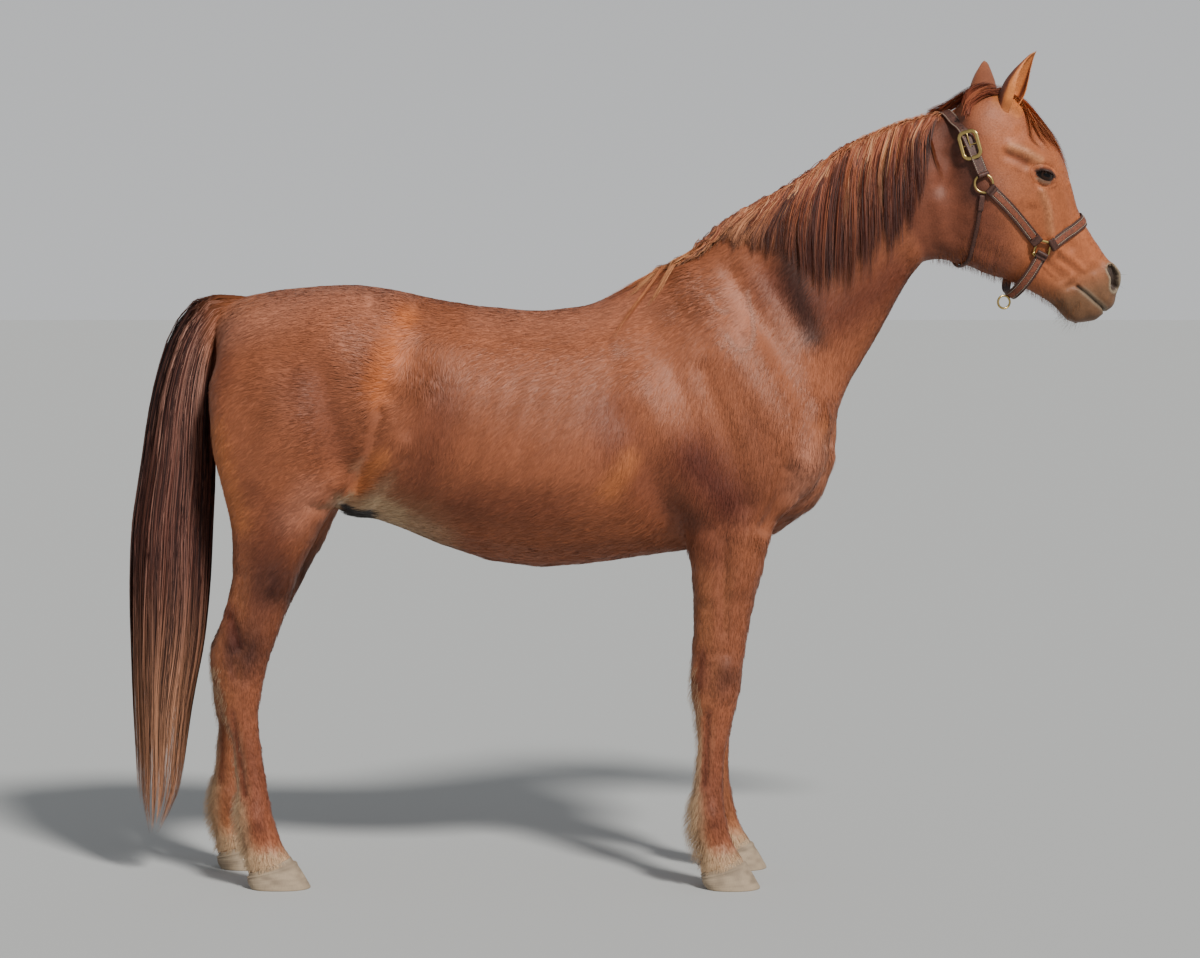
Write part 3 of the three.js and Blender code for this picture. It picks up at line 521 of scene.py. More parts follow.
def sculpt_muzzle(points, normals):
    down, out, deep = head_place(points)
    lift = np.zeros(len(points))
    on_head = head_share(points)
    for path, radius, height in FINE_STROKES:
        lift += stroke_weight(down, deep, path, radius) * height * on_head
    sideways = smooth(0.0, 0.3, (normals @ OUT) * np.sign(out)) * (np.abs(out) > NOSE_FRONT) * on_head
    rim = stroke_weight(down, deep, NOSTRIL, NOSTRIL_RIM["radius"])
    hole = smooth(NOSTRIL_HOLE["edge"], NOSTRIL_HOLE["floor"], distance_to_path(down, deep, NOSTRIL))
    lift += sideways * (rim * NOSTRIL_RIM["lift"] - hole * NOSTRIL_HOLE["sink"])
    points = points + normals * (lift * MILLIMETRE)[:, None]
    # the nostril runs inwards and up the nose
    inwards = -np.sign(out)[:, None] * OUT * NOSTRIL_HOLE["inwards"] - DOWN * NOSTRIL_HOLE["up"]
    return points + inwards * (sideways * hole)[:, None]


# ---------------------------------------------------------------- eyes
EYE_CORNERS = ((0.172, 0.049), (0.218, 0.008))     # rear and front corner, as (down, deep)
EYE_OPENING = 0.0215                               # half the length between the corners
LID_HEIGHTS = {"upper": 0.0080, "lower": 0.0126}
LID_POWERS = {"upper": 2.8, "lower": 2.0}           # 2 for an ellipse, more for a flatter edge
LIDS_END = 1.95                                     # how far out the lids end, as a reach
SOCKET_HEIGHT = 0.0285                              # and how far above and below the eye's middle
EYE_REGION = 0.07                                   # how far round its middle an eye matters
FARTHEST_REACH = 4.0
BISECTIONS = 14
NOT_NEAR = 9.0                                      # the reach given to places beyond the region
EYE_AXIS = unit(np.subtract(EYE_CORNERS[1], EYE_CORNERS[0]))
EYE_ACROSS = np.array([-EYE_AXIS[1], EYE_AXIS[0]])


def eye_frame(side):
    """Three directions at an eye: from its rear to its front corner, downwards, and outwards."""
    along = DOWN * EYE_AXIS[0] + DEEP * EYE_AXIS[1]
    across = DOWN * EYE_ACROSS[0] + DEEP * EYE_ACROSS[1]
    return along, across, OUT * (1 if side == "right" else -1)


def eye_place(points, side):
    along, across, outwards = eye_frame(side)
    offset = points - EYES[side]
    return offset @ along, offset @ across, offset @ outwards


def lid_form(reach, q):
    """Half the height and the power of the ring round the eye at a reach, 1 being the opening."""
    height = np.where(q < 0, LID_HEIGHTS["upper"], LID_HEIGHTS["lower"])
    power = np.where(q < 0, LID_POWERS["upper"], LID_POWERS["lower"])
    beyond = np.maximum(reach - 1, 0) / (LIDS_END - 1)
    height = height * np.minimum(reach, 1) + (SOCKET_HEIGHT - height) * beyond
    return height, mix(power, 2, np.minimum(beyond, 1))


def lid_place(reach, angle):
    """The place on a ring round the eye. Angles from 180 to 360 degrees are on the upper lid."""
    height, power = lid_form(reach, np.sin(angle))
    p = reach * EYE_OPENING * np.sign(np.cos(angle)) * np.abs(np.cos(angle)) ** (2 / power)
    return p, height * np.sign(np.sin(angle)) * np.abs(np.sin(angle)) ** (2 / power)


def opening_reach(p, q):
    """The reach of the ring through each place: under 1 inside the opening, over 1 outside it."""
    near = np.hypot(p, q) < EYE_REGION
    low, high = np.zeros(near.sum()), np.full(near.sum(), FARTHEST_REACH)
    for _ in range(BISECTIONS):
        middle = (low + high) / 2
        height, power = lid_form(middle, q[near])
        along = np.abs(p[near] / (EYE_OPENING * middle)) ** power
        outside = along + np.abs(q[near] / height) ** power > 1
        low, high = np.where(outside, middle, low), np.where(outside, high, middle)
    reach = np.full(p.shape, NOT_NEAR)
    reach[near] = low
    return reach


SOCKET_REACH = 2.2                 # how far the skin is shaped round the ball
SUNK, LAID = -0.006, 0.003         # the skin's height from the ball, behind it and round it
SOCKET_STEPS = (1.05, 1.35, 1.85)  # the reaches at which it turns from sunk to laid to free


def sink_sockets(points):
    """Sinks the skin behind each eyeball, and lays it round the ball outside the lids."""
    for side in SIDES:
        _, _, outwards = eye_frame(side)
        p, q, o = eye_place(points, side)
        reach = opening_reach(p, q)
        ball = np.sqrt(np.clip(EYE_RADIUS**2 - p**2 - q**2, 0, None))
        near = (o > 0.0) & (reach < SOCKET_REACH)
        sunk = np.minimum(o, ball + SUNK)
        laid = np.minimum(o, ball + LAID)
        wanted = mix(sunk, laid, smooth(*SOCKET_STEPS[:2], reach))
        wanted = mix(wanted, o, smooth(*SOCKET_STEPS[1:], reach))
        points = points + outwards * np.where(near, wanted - o, 0)[:, None]
    return points


# ---------------------------------------------------------------- eyelids
LID_STEPS = 96
LID_SUPPORT = 0.0215               # how far from the eye's middle the ball still carries the lids
LIDS_ON_SKIN = 1.80                # the reach from which they lie on the skin itself
LID_CLEARANCE = 0.0028             # the least height of the lids over the ball
UPPER_LID_WEIGHT = 0.0034          # how much further the upper lid stands off
SKIN_RAY = 0.08                    # how far from the eye's middle the rays to the skin start
# Each ring of a lid: its reach from the eye's middle, how far it stands off the eyeball, and
# how much it follows the skin instead.
LID_RINGS = [
    (0.90, -0.0012, 0.0), (0.965, 0.0004, 0.0), (1.00, 0.0018, 0.0), (1.05, 0.0029, 0.0),
    (1.14, 0.0033, 0.0), (1.26, 0.0030, 0.15), (1.42, 0.0032, 0.55), (1.60, 0.0030, 0.90),
    (1.80, -0.0010, 1.0), (1.95, -0.0080, 1.0),
]


def lids(tree, side):
    """A ring of lid round one eye, as points and faces, from over the eyeball out to the skin."""
    along, across, outwards = eye_frame(side)

    angles = 2 * math.pi * np.arange(LID_STEPS) / LID_STEPS

    def placed(p, q, o):
        in_plane = EYES[side] + p[:, None] * along + q[:, None] * across
        return in_plane + np.reshape(o, (-1, 1)) * outwards

    def skin_height(reach):
        starts = placed(*lid_place(reach, angles), SKIN_RAY)
        hits = [tree.ray_cast(Vector(start), Vector(-outwards))[0] for start in starts]
        return (np.array(hits) - EYES[side]) @ outwards

    rings = []
    for reach, stand_off, follow in LID_RINGS:
        p, q = lid_place(reach, angles)
        ball = np.sqrt(EYE_RADIUS**2 - np.minimum(np.hypot(p, q), LID_SUPPORT) ** 2)
        heavy = UPPER_LID_WEIGHT * np.maximum(-np.sin(angles), 0) * (1 - follow) * (reach > 0.97)
        skin = skin_height(max(reach, LIDS_ON_SKIN))
        laid = mix(ball + stand_off + heavy, skin + stand_off * 0.3, follow)
        clear = np.sqrt(np.maximum(EYE_RADIUS**2 - p**2 - q**2, 0)) + LID_CLEARANCE
        rings.append(placed(p, q, np.where(reach > 1.01, np.maximum(laid, clear), laid)))
    return sweep(rings)


# ---------------------------------------------------------------- ears
# An ear is a cupped shell from its base to its tip. `opens` is the way that its hollow faces.
# All three are (down, out, deep) in the head's frame.
EARS = {
    "right": {
        "base": (0.026, 0.050, 0.022),
        "tip": (-0.054, 0.062, -0.112),
        "opens": (0.30, 0.78, -0.55),
    },
    "left": {
        "base": (0.014, -0.048, 0.036),
        "tip": (-0.064, -0.125, -0.064),
        "opens": (0.0, -1.0, 0.0),
    },
}
EAR_LENGTH = 0.158
EAR_WALL = 0.0026
EAR_RADIUS = 0.04                  # nothing further from an ear's axis belongs to it
EAR_RINGS, EAR_SIDES = 56, 26
# Share of the length, half width, half depth, how far round it curls (degrees), forward lean.
EAR_FORM = np.array([
    (-0.16, 0.0190, 0.0190, 172, -0.0010), (0.00, 0.0210, 0.0210, 158, -0.0010),
    (0.18, 0.0295, 0.0245, 146, -0.0020), (0.38, 0.0335, 0.0255, 132, -0.0030),
    (0.58, 0.0285, 0.0190, 120, -0.0035), (0.78, 0.0178, 0.0100, 108, -0.0025),
    (0.93, 0.0082, 0.0050, 98, 0.0005), (1.00, 0.0014, 0.0012, 90, 0.0050),
])


def head_way(vector):
    return vector[0] * DOWN + vector[1] * OUT + vector[2] * DEEP


def ear_frame(side):
    """Base, axis, opening direction and sideways direction of an ear."""
    form = EARS[side]
    base = from_head(*form["base"])
    axis = unit(head_way(np.subtract(form["tip"], form["base"])))
    opens = head_way(form["opens"])
    opens = unit(opens - axis * (opens @ axis))
    return base, axis, opens, np.cross(axis, opens)


def ear_place(points, side):
    """Share of the ear's length, place across it, and place towards its opening."""
    base, axis, opens, across = ear_frame(side)
    offset = points - base
    return offset @ axis / EAR_LENGTH, offset @ across, offset @ opens


def ear_share(points, side):
    """1 on an ear, 0 elsewhere."""
    share, across, opened = ear_place(points, side)
    return smooth(-0.06, 0.10, share) * smooth(1.10, 1.05, share) * (np.hypot(across, opened) < EAR_RADIUS)


def ear_shell(side):
    """The cupped shell of an ear, as points and faces."""
    base, axis, opens, across = ear_frame(side)
    form = along_path(EAR_FORM, np.linspace(0, 1, EAR_RINGS) ** 0.9)
    rings = []
    for share, width, depth, curl, lean in form:
        wall = min(0.5, EAR_WALL / width)
        curl = math.radians(curl)
        angles = np.linspace(-curl, curl, EAR_SIDES)
        rim = curl + 0.5 * EAR_WALL / width
        ring = [(angle, 1.0) for angle in angles] + [(rim, 1 - wall / 2)]
        ring += [(angle, 1 - wall) for angle in angles[::-1]] + [(-rim, 1 - wall / 2)]
        rings.append([
            base + axis * share * EAR_LENGTH + opens * (lean - depth * scale * math.cos(angle))
            + across * width * scale * math.sin(angle)
            for angle, scale in ring
        ])
    return sweep(rings)


def add_part(work, points, faces):
    """Adds a surface to a bmesh, its faces turned outwards."""
    part = mesh_from("part", points, faces)
    with edited(part) as own:
        bmesh.ops.recalc_face_normals(own, faces=own.faces)
    work.from_mesh(part)
    bpy.data.meshes.remove(part)


def tree_of(mesh):
    mesh.calc_loop_triangles()
    triangles = indices_of(mesh.loop_triangles, "vertices", 3)
    return BVHTree.FromPolygons(points_of(mesh).tolist(), triangles.tolist()), triangles


def add_ears_and_lids(mesh):
    tree, _ = tree_of(mesh)
    with edited(mesh) as work:
        for side in SIDES:
            add_part(work, *ear_shell(side))
            add_part(work, *lids(tree, side))


def mesh_normals(mesh, points):
    set_points(mesh, points)
    return normals_of(mesh)


FINE_MUZZLE = {"down": 0.455, "deep": 0.12}        # the end of the head that gets finer faces
FINE_EYES = {"radius": 0.046, "out": 0.05}         # and so does the skin round the eyes


def make_skin_mesh():
    """The skin in three steps: the body, then the head, then the muzzle and round the eyes."""
    mesh = remeshed_flesh()
    largest_piece(mesh)
    points = points_of(mesh)
    points = relax(points, edges_of(mesh), softness(points), 39)
    points = sculpt_body(points, mesh_normals(mesh, points))
    points = relax(points, edges_of(mesh), softness(points) * 0.3, 3)
    set_points(mesh, points)

    refined(mesh, head_share(face_centres(mesh)) > 0.3)
    points = points_of(mesh)
    share = head_share(points, -0.05, 0.0)
    points = relax(points, edges_of(mesh), 0.30 * share, 9)
    points = sculpt_head(points, mesh_normals(mesh, points))
    points = relax(points, edges_of(mesh), 0.25 * share, 2)
    set_points(mesh, points)

    centres = face_centres(mesh)
    down, out, deep = head_place(centres)
    muzzle = (down > FINE_MUZZLE["down"]) & (deep < FINE_MUZZLE["deep"])
    from_eye = np.hypot(down - EYE_DOWN, deep - EYE_DEEP)
    eyes = (from_eye < FINE_EYES["radius"]) & (np.abs(out) > FINE_EYES["out"])
    refined(mesh, muzzle & (head_share(centres) > 0.5) | eyes)
    points = points_of(mesh)
    share = smooth(0.44, 0.47, head_place(points)[0]) * head_share(points)
    points = relax(points, edges_of(mesh), 0.25 * share, 3)
    points = sculpt_muzzle(points, mesh_normals(mesh, points))
    points = relax(points, edges_of(mesh), 0.20 * share, 2)
    set_points(mesh, sink_sockets(points))
    add_ears_and_lids(mesh)
    return mesh


# ---------------------------------------------------------------- noise and the coat's colour
NOISE_SIZE = 24
NOISE = np.random.default_rng(SEED).random((NOISE_SIZE,) * 3)


def noise(points, size):
    """Smooth noise from 0 to 1 whose lumps are about `size` across, in each direction."""
    q = np.asarray(points) / np.asarray(size) + 100
    cell = np.floor(q).astype(int)
    t = q - cell
    t = t * t * (3 - 2 * t)
    total = np.zeros(len(q))
    for corner in np.ndindex(2, 2, 2):
        weight = np.ones(len(q))
        for axis in range(3):
            weight *= t[:, axis] if corner[axis] else 1 - t[:, axis]
        index = (cell + corner) % NOISE_SIZE
        total += weight * NOISE[index[:, 0], index[:, 1], index[:, 2]]
    return total


def from_srgb(*values):
    v = np.array(values, float) / 255
    return np.where(v <= 0.04045, v / 12.92, ((v + 0.055) / 1.055) ** 2.4)


COPPER = from_srgb(146, 85, 57)
DARK_COPPER = from_srgb(88, 41, 29)
BRIGHT_COPPER = from_srgb(196, 118, 66)
TAN = from_srgb(180, 118, 74)
CREAM = from_srgb(216, 184, 146)
MUZZLE_TAN = from_srgb(92, 69, 48)
LIP_GREY = from_srgb(136, 122, 102)
SKIN_DARK = from_srgb(42, 31, 28)
NOSTRIL_DARK = from_srgb(58, 46, 42)
PALE_LID = from_srgb(168, 140, 116)
PALE_BROW = from_srgb(204, 146, 104)
ROUGHED_PINK = from_srgb(172, 112, 88)
CRINKLE = from_srgb(216, 160, 138)
# painted sheen on the croup, back, barrel, breast and stifle
PAINTED_SHEEN_PINK = from_srgb(178, 118, 94)
# painted highlight on the swirl of the right flank
FLANK_PAINTED_HIGHLIGHT = from_srgb(196, 104, 46)
FACE_ORANGE = from_srgb(182, 102, 58)
# painted shadow under the mane and behind the jaw
PAINTED_SHADOW_BROWN = from_srgb(46, 24, 20)
HOCK_SHADE = from_srgb(54, 28, 24)
BELLY_PALE = from_srgb(190, 158, 122)
SHEATH_GREY = from_srgb(52, 46, 44)
INNER_EAR = from_srgb(206, 124, 62)


def spot(u, v, at, radius):
    return smooth(1, 0, np.hypot(u - at[0], v - at[1]) / radius)


# Painted light and shade laid over the coat, as (place or path, radius, strength, colour): the dark strokes
# are painted shade and shadow on the undersides, in the creases and hollows, under the mane and behind the
# head; the bright and pink sheen strokes are painted highlights and sheen on the lit forms; the roughed pink
# stroke is the real patch on the shoulder.
PAINTED_SHADE_AND_MARKINGS = [
    ([(0.02, 1.12), (0.08, 1.00), (0.16, 0.90)], 0.100, 0.50, DARK_COPPER),
    ([(0.22, 1.02), (0.30, 0.92)], 0.120, 0.98, DARK_COPPER),
    ([(0.36, 1.08), (0.40, 0.95)], 0.080, 0.20, DARK_COPPER),
    ([(0.22, 0.86), (0.26, 0.80)], 0.080, 0.55, DARK_COPPER),
    ([(-0.10, 0.90), (-0.30, 0.92)], 0.090, 0.40, DARK_COPPER),
    ([(-0.66, 1.18), (-0.60, 1.05)], 0.100, 0.40, DARK_COPPER),
    ([(-0.86, 1.25), (-0.86, 1.21)], 0.050, 0.35, DARK_COPPER),
    ([(-0.79, 0.95), (-0.74, 0.91)], 0.035, 0.30, DARK_COPPER),
    ([(-0.74, 0.86), (-0.80, 0.70)], 0.085, 0.55, DARK_COPPER),
    ([(-0.36, 1.15), (-0.40, 1.00)], 0.100, 0.45, DARK_COPPER),
    ([(0.42, 1.42), (0.56, 1.35), (0.70, 1.44)], 0.110, 0.75, DARK_COPPER),
    ([(0.79, 1.77), (0.83, 1.70), (0.84, 1.60)], 0.075, 0.80, DARK_COPPER),
    ([(-0.50, 1.02), (-0.56, 0.92)], 0.040, 0.55, BRIGHT_COPPER),
    ([(0.07, 1.02), (0.03, 0.95)], 0.050, 0.40, BRIGHT_COPPER),
    ([(0.54, 1.08), (0.51, 0.95)], 0.060, 0.30, BRIGHT_COPPER),
    ([(-0.89, 1.09), (-0.83, 0.87)], 0.050, 0.50, BRIGHT_COPPER),
    ([(-0.80, 1.37), (-0.88, 1.36)], 0.050, 0.40, BRIGHT_COPPER),
    ([(0.305, 1.400), (0.335, 1.340), (0.335, 1.295)], 0.042, 0.75, ROUGHED_PINK),
    ([(-0.84, 1.34), (-0.62, 1.41), (-0.50, 1.40)], 0.110, 0.60, PAINTED_SHEEN_PINK),
    ([(-0.26, 1.34), (-0.05, 1.33), (0.12, 1.38)], 0.080, 0.35, PAINTED_SHEEN_PINK),
    ([(-0.26, 1.19), (0.00, 1.21)], 0.080, 0.15, PAINTED_SHEEN_PINK),
    ([(0.50, 1.03), (0.48, 0.94)], 0.075, 0.70, PAINTED_SHEEN_PINK),
    ([(-0.66, 0.94), (-0.70, 0.88)], 0.070, 0.50, PAINTED_SHEEN_PINK),
]
# The same on the right side alone: a painted shadow under the mane, and a painted highlight on the swirl of
# the flank.
RIGHT_PAINTED_SHADOW_AND_HIGHLIGHT = [
    ([(0.445, 1.49), (0.470, 1.38), (0.500, 1.30)], 0.062, 0.85, PAINTED_SHADOW_BROWN),
    ([(-0.45, 1.33), (-0.47, 1.26), (-0.50, 1.17)], 0.056, 0.65, FLANK_PAINTED_HIGHLIGHT),
]
# The pale rims of the roughed patch on the shoulder.
PATCH_RIMS = [
    [(0.348, 1.405), (0.357, 1.350), (0.360, 1.300), (0.352, 1.272), (0.330, 1.264),
     (0.312, 1.276), (0.294, 1.302)],
    [(0.258, 1.388), (0.278, 1.356), (0.300, 1.352)],
    [(0.278, 1.285), (0.286, 1.276)],
]
# Rough, crinkled places behind the patch and on the back.
CRINKLED_SPOTS = [((0.215, 1.400), 0.050), ((0.170, 1.345), 0.030), ((0.050, 1.262), 0.030)]
# The grooves beside the tendons of the cannons and in the hocks, darkened with painted shade: path, radius,
# strength.
GROOVES = [
    ([(0.254, 0.42), (0.246, 0.24)], 0.014, 0.55),
    ([(-0.858, 0.42), (-0.830, 0.22)], 0.014, 0.38),
    ([(-0.862, 0.655), (-0.846, 0.585)], 0.026, 0.75),
    ([(0.240, 0.56), (0.232, 0.48)], 0.018, 0.60),
]
GROOVE_MARGIN = 1.6                # how much wider than its groove the place without pale hair is
# Dark places of the legs: place, radius, strength.
DARK_JOINTS = [
    ((0.29, 0.50), 0.085, 0.60), ((-0.84, 0.57), 0.120, 1.00), ((-0.76, 0.73), 0.140, 0.85),
]
FETLOCKS = ((0.27, 0.155), (-0.80, 0.150))
# Paths of single shades on the head, as (down, deep) places: a painted shadow behind the root of the jaw,
# painted shade in the fold above the eye and in the hollow of the temple under the brow, a pale fold below
# the eye, and paler hair with a painted highlight along the ridges of the brow and cheek bone. Those above
# and below the eye are measured from the eye's middle instead.
JAW_PAINTED_SHADOW = [(-0.01, 0.140), (0.05, 0.165), (0.14, 0.190)]
ABOVE_EYE = [(-0.026, -0.002), (-0.012, -0.0150), (0.012, -0.0145)]
BELOW_EYE = [(-0.017, 0.0125), (0.0, 0.0180), (0.017, 0.0135)]
TEMPLE = [(0.104, 0.076), (0.124, 0.066), (0.146, 0.056)]
BROW = [(0.096, 0.064), (0.120, 0.044), (0.160, 0.022)]
CHEEK_BONE = [(0.226, 0.056), (0.268, 0.062), (0.318, 0.080)]


def in_grooves(x, z):
    """1 in the grooves of the legs, 0 elsewhere."""
    weights = [stroke_weight(x, z, path, GROOVE_MARGIN * radius) for path, radius, _ in GROOVES]
    return np.max(weights, axis=0)


def coat_colour(points, normals):
    """The colour of the skin and of each hair's root, from where it is on the body."""
    colour = np.tile(COPPER, (len(points), 1))

    def lay(shade, weight):
        nonlocal colour
        colour = blend(colour, shade, weight)

    x, z = body_place(points)
    y = np.abs(points[:, 1])
    right = points[:, 1] < 0
    down, out, deep = head_place(points)
    on_head = head_share(points)
    # painted light and shade, and the patch, from the tables above; the right side's strokes only on the
    # right
    for shades, where in ((PAINTED_SHADE_AND_MARKINGS, 1), (RIGHT_PAINTED_SHADOW_AND_HIGHLIGHT, right)):
        for path, radius, strength, shade in shades:
            lay(shade, strength * stroke_weight(x, z, path, radius) * (1 - on_head) * where)

    # legs: paler down their length and behind, with darker knees, hocks and fetlock joints
    leg = smooth(0.86, 0.66, z)
    rear = smooth(0.2, -0.6, normals[:, 0]) * (1 - in_grooves(x, z))
    inner = smooth(0.1, 0.7, -normals[:, 1] * np.sign(points[:, 1]))
    lay(DARK_COPPER, 0.16 * leg)
    lay(TAN, leg * (0.35 * inner + 0.25 * rear))
    for at, radius, strength in DARK_JOINTS:
        lay(HOCK_SHADE, strength * spot(x, z, at, radius) * (1 - 0.5 * rear))
    for at in FETLOCKS:
        lay(DARK_COPPER, 0.45 * spot(x, z, at, 0.040) * (1 - rear))
    low = smooth(0.44, 0.30, z)
    lay(DARK_COPPER, 0.38 * low * smooth(0.14, 0.20, z))
    lay(CREAM, low * rear * smooth(0.0, -0.75, normals[:, 0]) * 0.50)
    lay(CREAM, smooth(0.120, 0.060, z) * 0.50)
    # painted shade in the grooves
    for path, radius, strength in GROOVES:
        lay(DARK_COPPER * 0.8, strength * stroke_weight(x, z, path, radius) * (1 - rear))

    # the rims of the patch on the right shoulder
    for path in PATCH_RIMS:
        lay(CRINKLE, 0.15 * right * stroke_weight(x, z, path, 0.007))

    # belly, groin and between the legs
    under = smooth(-0.45, -0.90, normals[:, 2]) * smooth(0.70, 0.76, z)
    lay(BELLY_PALE, 0.80 * under * smooth(-0.28, -0.42, x))
    groin = spot(x, z, (-0.50, 0.87), 0.10) * smooth(0.19, 0.13, y)
    lay(BELLY_PALE, 0.9 * smooth(0.1, 0.6, groin))
    sheath = spot(x, z, (-0.560, 0.880), 0.062) * smooth(0.110, 0.085, y)
    lay(SHEATH_GREY, smooth(0.05, 0.35, sheath))

    # face: tan in front, partly painted light, and redder behind the cheek strap and along the jaw, partly
    # painted shade, with a painted shadow behind the jaw's root
    behind = smooth(0.10, 0.20, deep - 0.25 * down + 0.04) * on_head
    lay(DARK_COPPER, 0.60 * behind)
    lay(PAINTED_SHADOW_BROWN, 0.70 * on_head * stroke_weight(down, deep, JAW_PAINTED_SHADOW, 0.055))
    face = on_head * smooth(0.14, 0.02, deep - 0.25 * down) * smooth(-0.04, 0.06, down)
    lay(FACE_ORANGE, 0.50 * face)
    muzzle = on_head * smooth(0.425, 0.525, down + 0.25 * np.maximum(deep - 0.02, 0))
    lay(MUZZLE_TAN, 0.88 * muzzle)
    lips = on_head * stroke_weight(down, deep, MOUTH, 0.014) * smooth(0.47, 0.49, down)
    lay(LIP_GREY, 0.75 * lips)
    # dark skin and painted shade in the mouth's crease
    lay(SKIN_DARK, 0.85 * on_head * stroke_weight(down, deep, MOUTH, 0.0050))
    side_on = np.abs(out) > NOSE_FRONT
    nostril = distance_to_path(down, deep, NOSTRIL)
    lay(LIP_GREY, 0.9 * on_head * side_on * smooth(0.020, 0.013, nostril))
    # the nostril's hollow: dark skin and painted shade
    lay(NOSTRIL_DARK, 0.92 * on_head * side_on * smooth(0.0120, 0.0085, nostril))

    # eyes: painted shade in the fold above, a pale fold below, and dark rims
    for side in SIDES:
        p, q, o = eye_place(points, side)
        reach = opening_reach(p, q)
        lay(DARK_COPPER, 0.65 * (stroke_weight(p, q, ABOVE_EYE, 0.0080) * (o > 0)))
        lay(PALE_LID, 0.80 * (stroke_weight(p, q, BELOW_EYE, 0.0048) * (o > 0)))
        rim = np.where(q < 0, smooth(1.50, 1.12, reach), smooth(1.16, 1.04, reach))
        lay(SKIN_DARK, 0.92 * rim * (o > 0))
    # painted shade in the hollow of the temple, and pale hair with a painted highlight on the brow ridge and
    # cheek bone
    lay(DARK_COPPER, 0.60 * on_head * stroke_weight(down, deep, TEMPLE, 0.014))
    lay(PALE_BROW, 0.45 * on_head * stroke_weight(down, deep, BROW, 0.018))
    lay(PALE_BROW, 0.30 * on_head * stroke_weight(down, deep, CHEEK_BONE, 0.020))

    # ears: dark behind, with more painted shade on the back of the right ear, orange in their hollows with
    # painted shade deep at their base, pale at their tips
    for side in SIDES:
        share, _, opened = ear_place(points, side)
        at_ear = ear_share(points, side)
        faces_in = smooth(0.0, 0.35, normals @ ear_frame(side)[2])
        # more painted shade on the back of the right ear than the left
        back = 0.85 if side == "right" else 0.30
        lay(DARK_COPPER * 0.8, back * at_ear * (1 - faces_in) * smooth(1.0, 0.5, share))
        lay(INNER_EAR, 0.7 * at_ear * smooth(0.002, 0.010, opened))
        lay(INNER_EAR, 0.75 * at_ear * faces_in)
        # painted shade deep in the hollow, near the base
        lay(DARK_COPPER, 0.5 * at_ear * faces_in * smooth(0.25, 0.05, share))
        lay(CREAM, 0.3 * at_ear * smooth(0.90, 1.0, share))
    patches = noise(points, 0.16) * 0.6 + noise(points + 5, 0.06) * 0.4
    flecks = noise(points + 9, 0.012)
    return colour * (0.70 + 0.40 * patches + 0.20 * flecks)[:, None]


# ---------------------------------------------------------------- the lie of the coat
# Which way the hair lies: side-view places on the body with the way (x, z) it points.
BODY_LIE = [
    ((-0.75, 1.40), (-1.0, -0.15)), ((-0.87, 1.32), (-0.8, -0.6)), ((-0.70, 1.18), (-1.0, -0.10)),
    ((-0.84, 1.10), (-0.6, -0.8)), ((-0.74, 0.95), (-0.7, -0.7)), ((-0.60, 1.02), (-0.9, -0.3)),
    ((-0.53, 1.22), (-0.9, 0.3)), ((-0.50, 1.12), (-0.8, -0.5)), ((-0.40, 1.22), (0.45, -0.9)),
    ((-0.42, 1.05), (-0.2, -1.0)), ((-0.45, 1.37), (-1.0, -0.1)), ((-0.20, 1.35), (-1.0, -0.2)),
    ((-0.20, 1.15), (-0.5, -0.85)), ((-0.20, 0.90), (-0.7, -0.7)), ((0.05, 1.10), (-0.3, -0.95)),
    ((0.05, 1.35), (-0.8, -0.6)), ((0.20, 1.44), (-0.7, -0.7)), ((0.28, 1.20), (-0.05, -1.0)),
    ((0.30, 0.95), (-0.1, -1.0)), ((0.46, 1.02), (-0.15, -1.0)), ((0.42, 1.30), (-0.3, -0.95)),
    ((0.60, 1.42), (-0.5, -0.85)), ((0.80, 1.62), (-0.6, -0.8)), ((0.0, 0.78), (-0.95, -0.3)),
    ((0.28, 0.50), (-0.05, -1.0)), ((-0.70, 0.80), (-0.5, -0.9)), ((-0.84, 0.55), (0.05, -1.0)),
    ((0.26, 0.10), (0.25, -1.0)), ((-0.80, 0.10), (0.25, -1.0)),
]

# The same on the head, as (down, deep) places and ways.
HEAD_LIE = [
    ((0.02, 0.05), (0.2, 1.0)), ((0.12, -0.05), (-0.4, 0.5)), ((0.20, 0.15), (0.8, 0.6)),
    ((0.10, 0.20), (0.4, 0.9)), ((0.25, -0.03), (1.0, 0.1)), ((0.36, 0.02), (1.0, 0.25)),
    ((0.36, 0.12), (0.9, 0.5)), ((0.50, 0.04), (1.0, 0.3)), ((0.45, 0.14), (0.9, 0.2)),
]


def blended_ways(u, v, anchors):
    """A direction at each place, from the named ones round it."""
    total = np.zeros((len(u), 2))
    for (u0, v0), way in anchors:
        weight = 1 / ((u - u0) ** 2 + (v - v0) ** 2 + 4e-4) ** 1.5
        total += weight[:, None] * unit(way)
    return unit(total)


def lie_of_coat(points, normals):
    """The direction that the hair lies in at each point, along the skin."""
    x, z = body_place(points)
    body_way = blended_ways(x, z, BODY_LIE)
    way = np.stack([body_way[:, 0], np.zeros(len(points)), body_way[:, 1]], axis=1)
    # over the back and under the belly the hair runs backwards and outwards
    flat = np.abs(normals[:, 2:])
    way += flat * np.array([-0.8, 0, 0])
    way[:, 1] += 0.25 * np.sign(points[:, 1]) * smooth(0.3, 0.9, normals[:, 2])
    down, out, deep = head_place(points)
    head_way = blended_ways(down, deep, HEAD_LIE)
    on_head = head_share(points)
    in_world = head_way[:, :1] * DOWN + head_way[:, 1:] * DEEP
    in_world += 0.5 * OUT * (np.sign(out) * smooth(0.03, 0.0, deep))[:, None]
    way = blend(way, in_world, on_head)
    for side in SIDES:
        way = blend(way, ear_frame(side)[1], ear_share(points, side))
    return unit(way - normals * (way * normals).sum(1, keepdims=True))


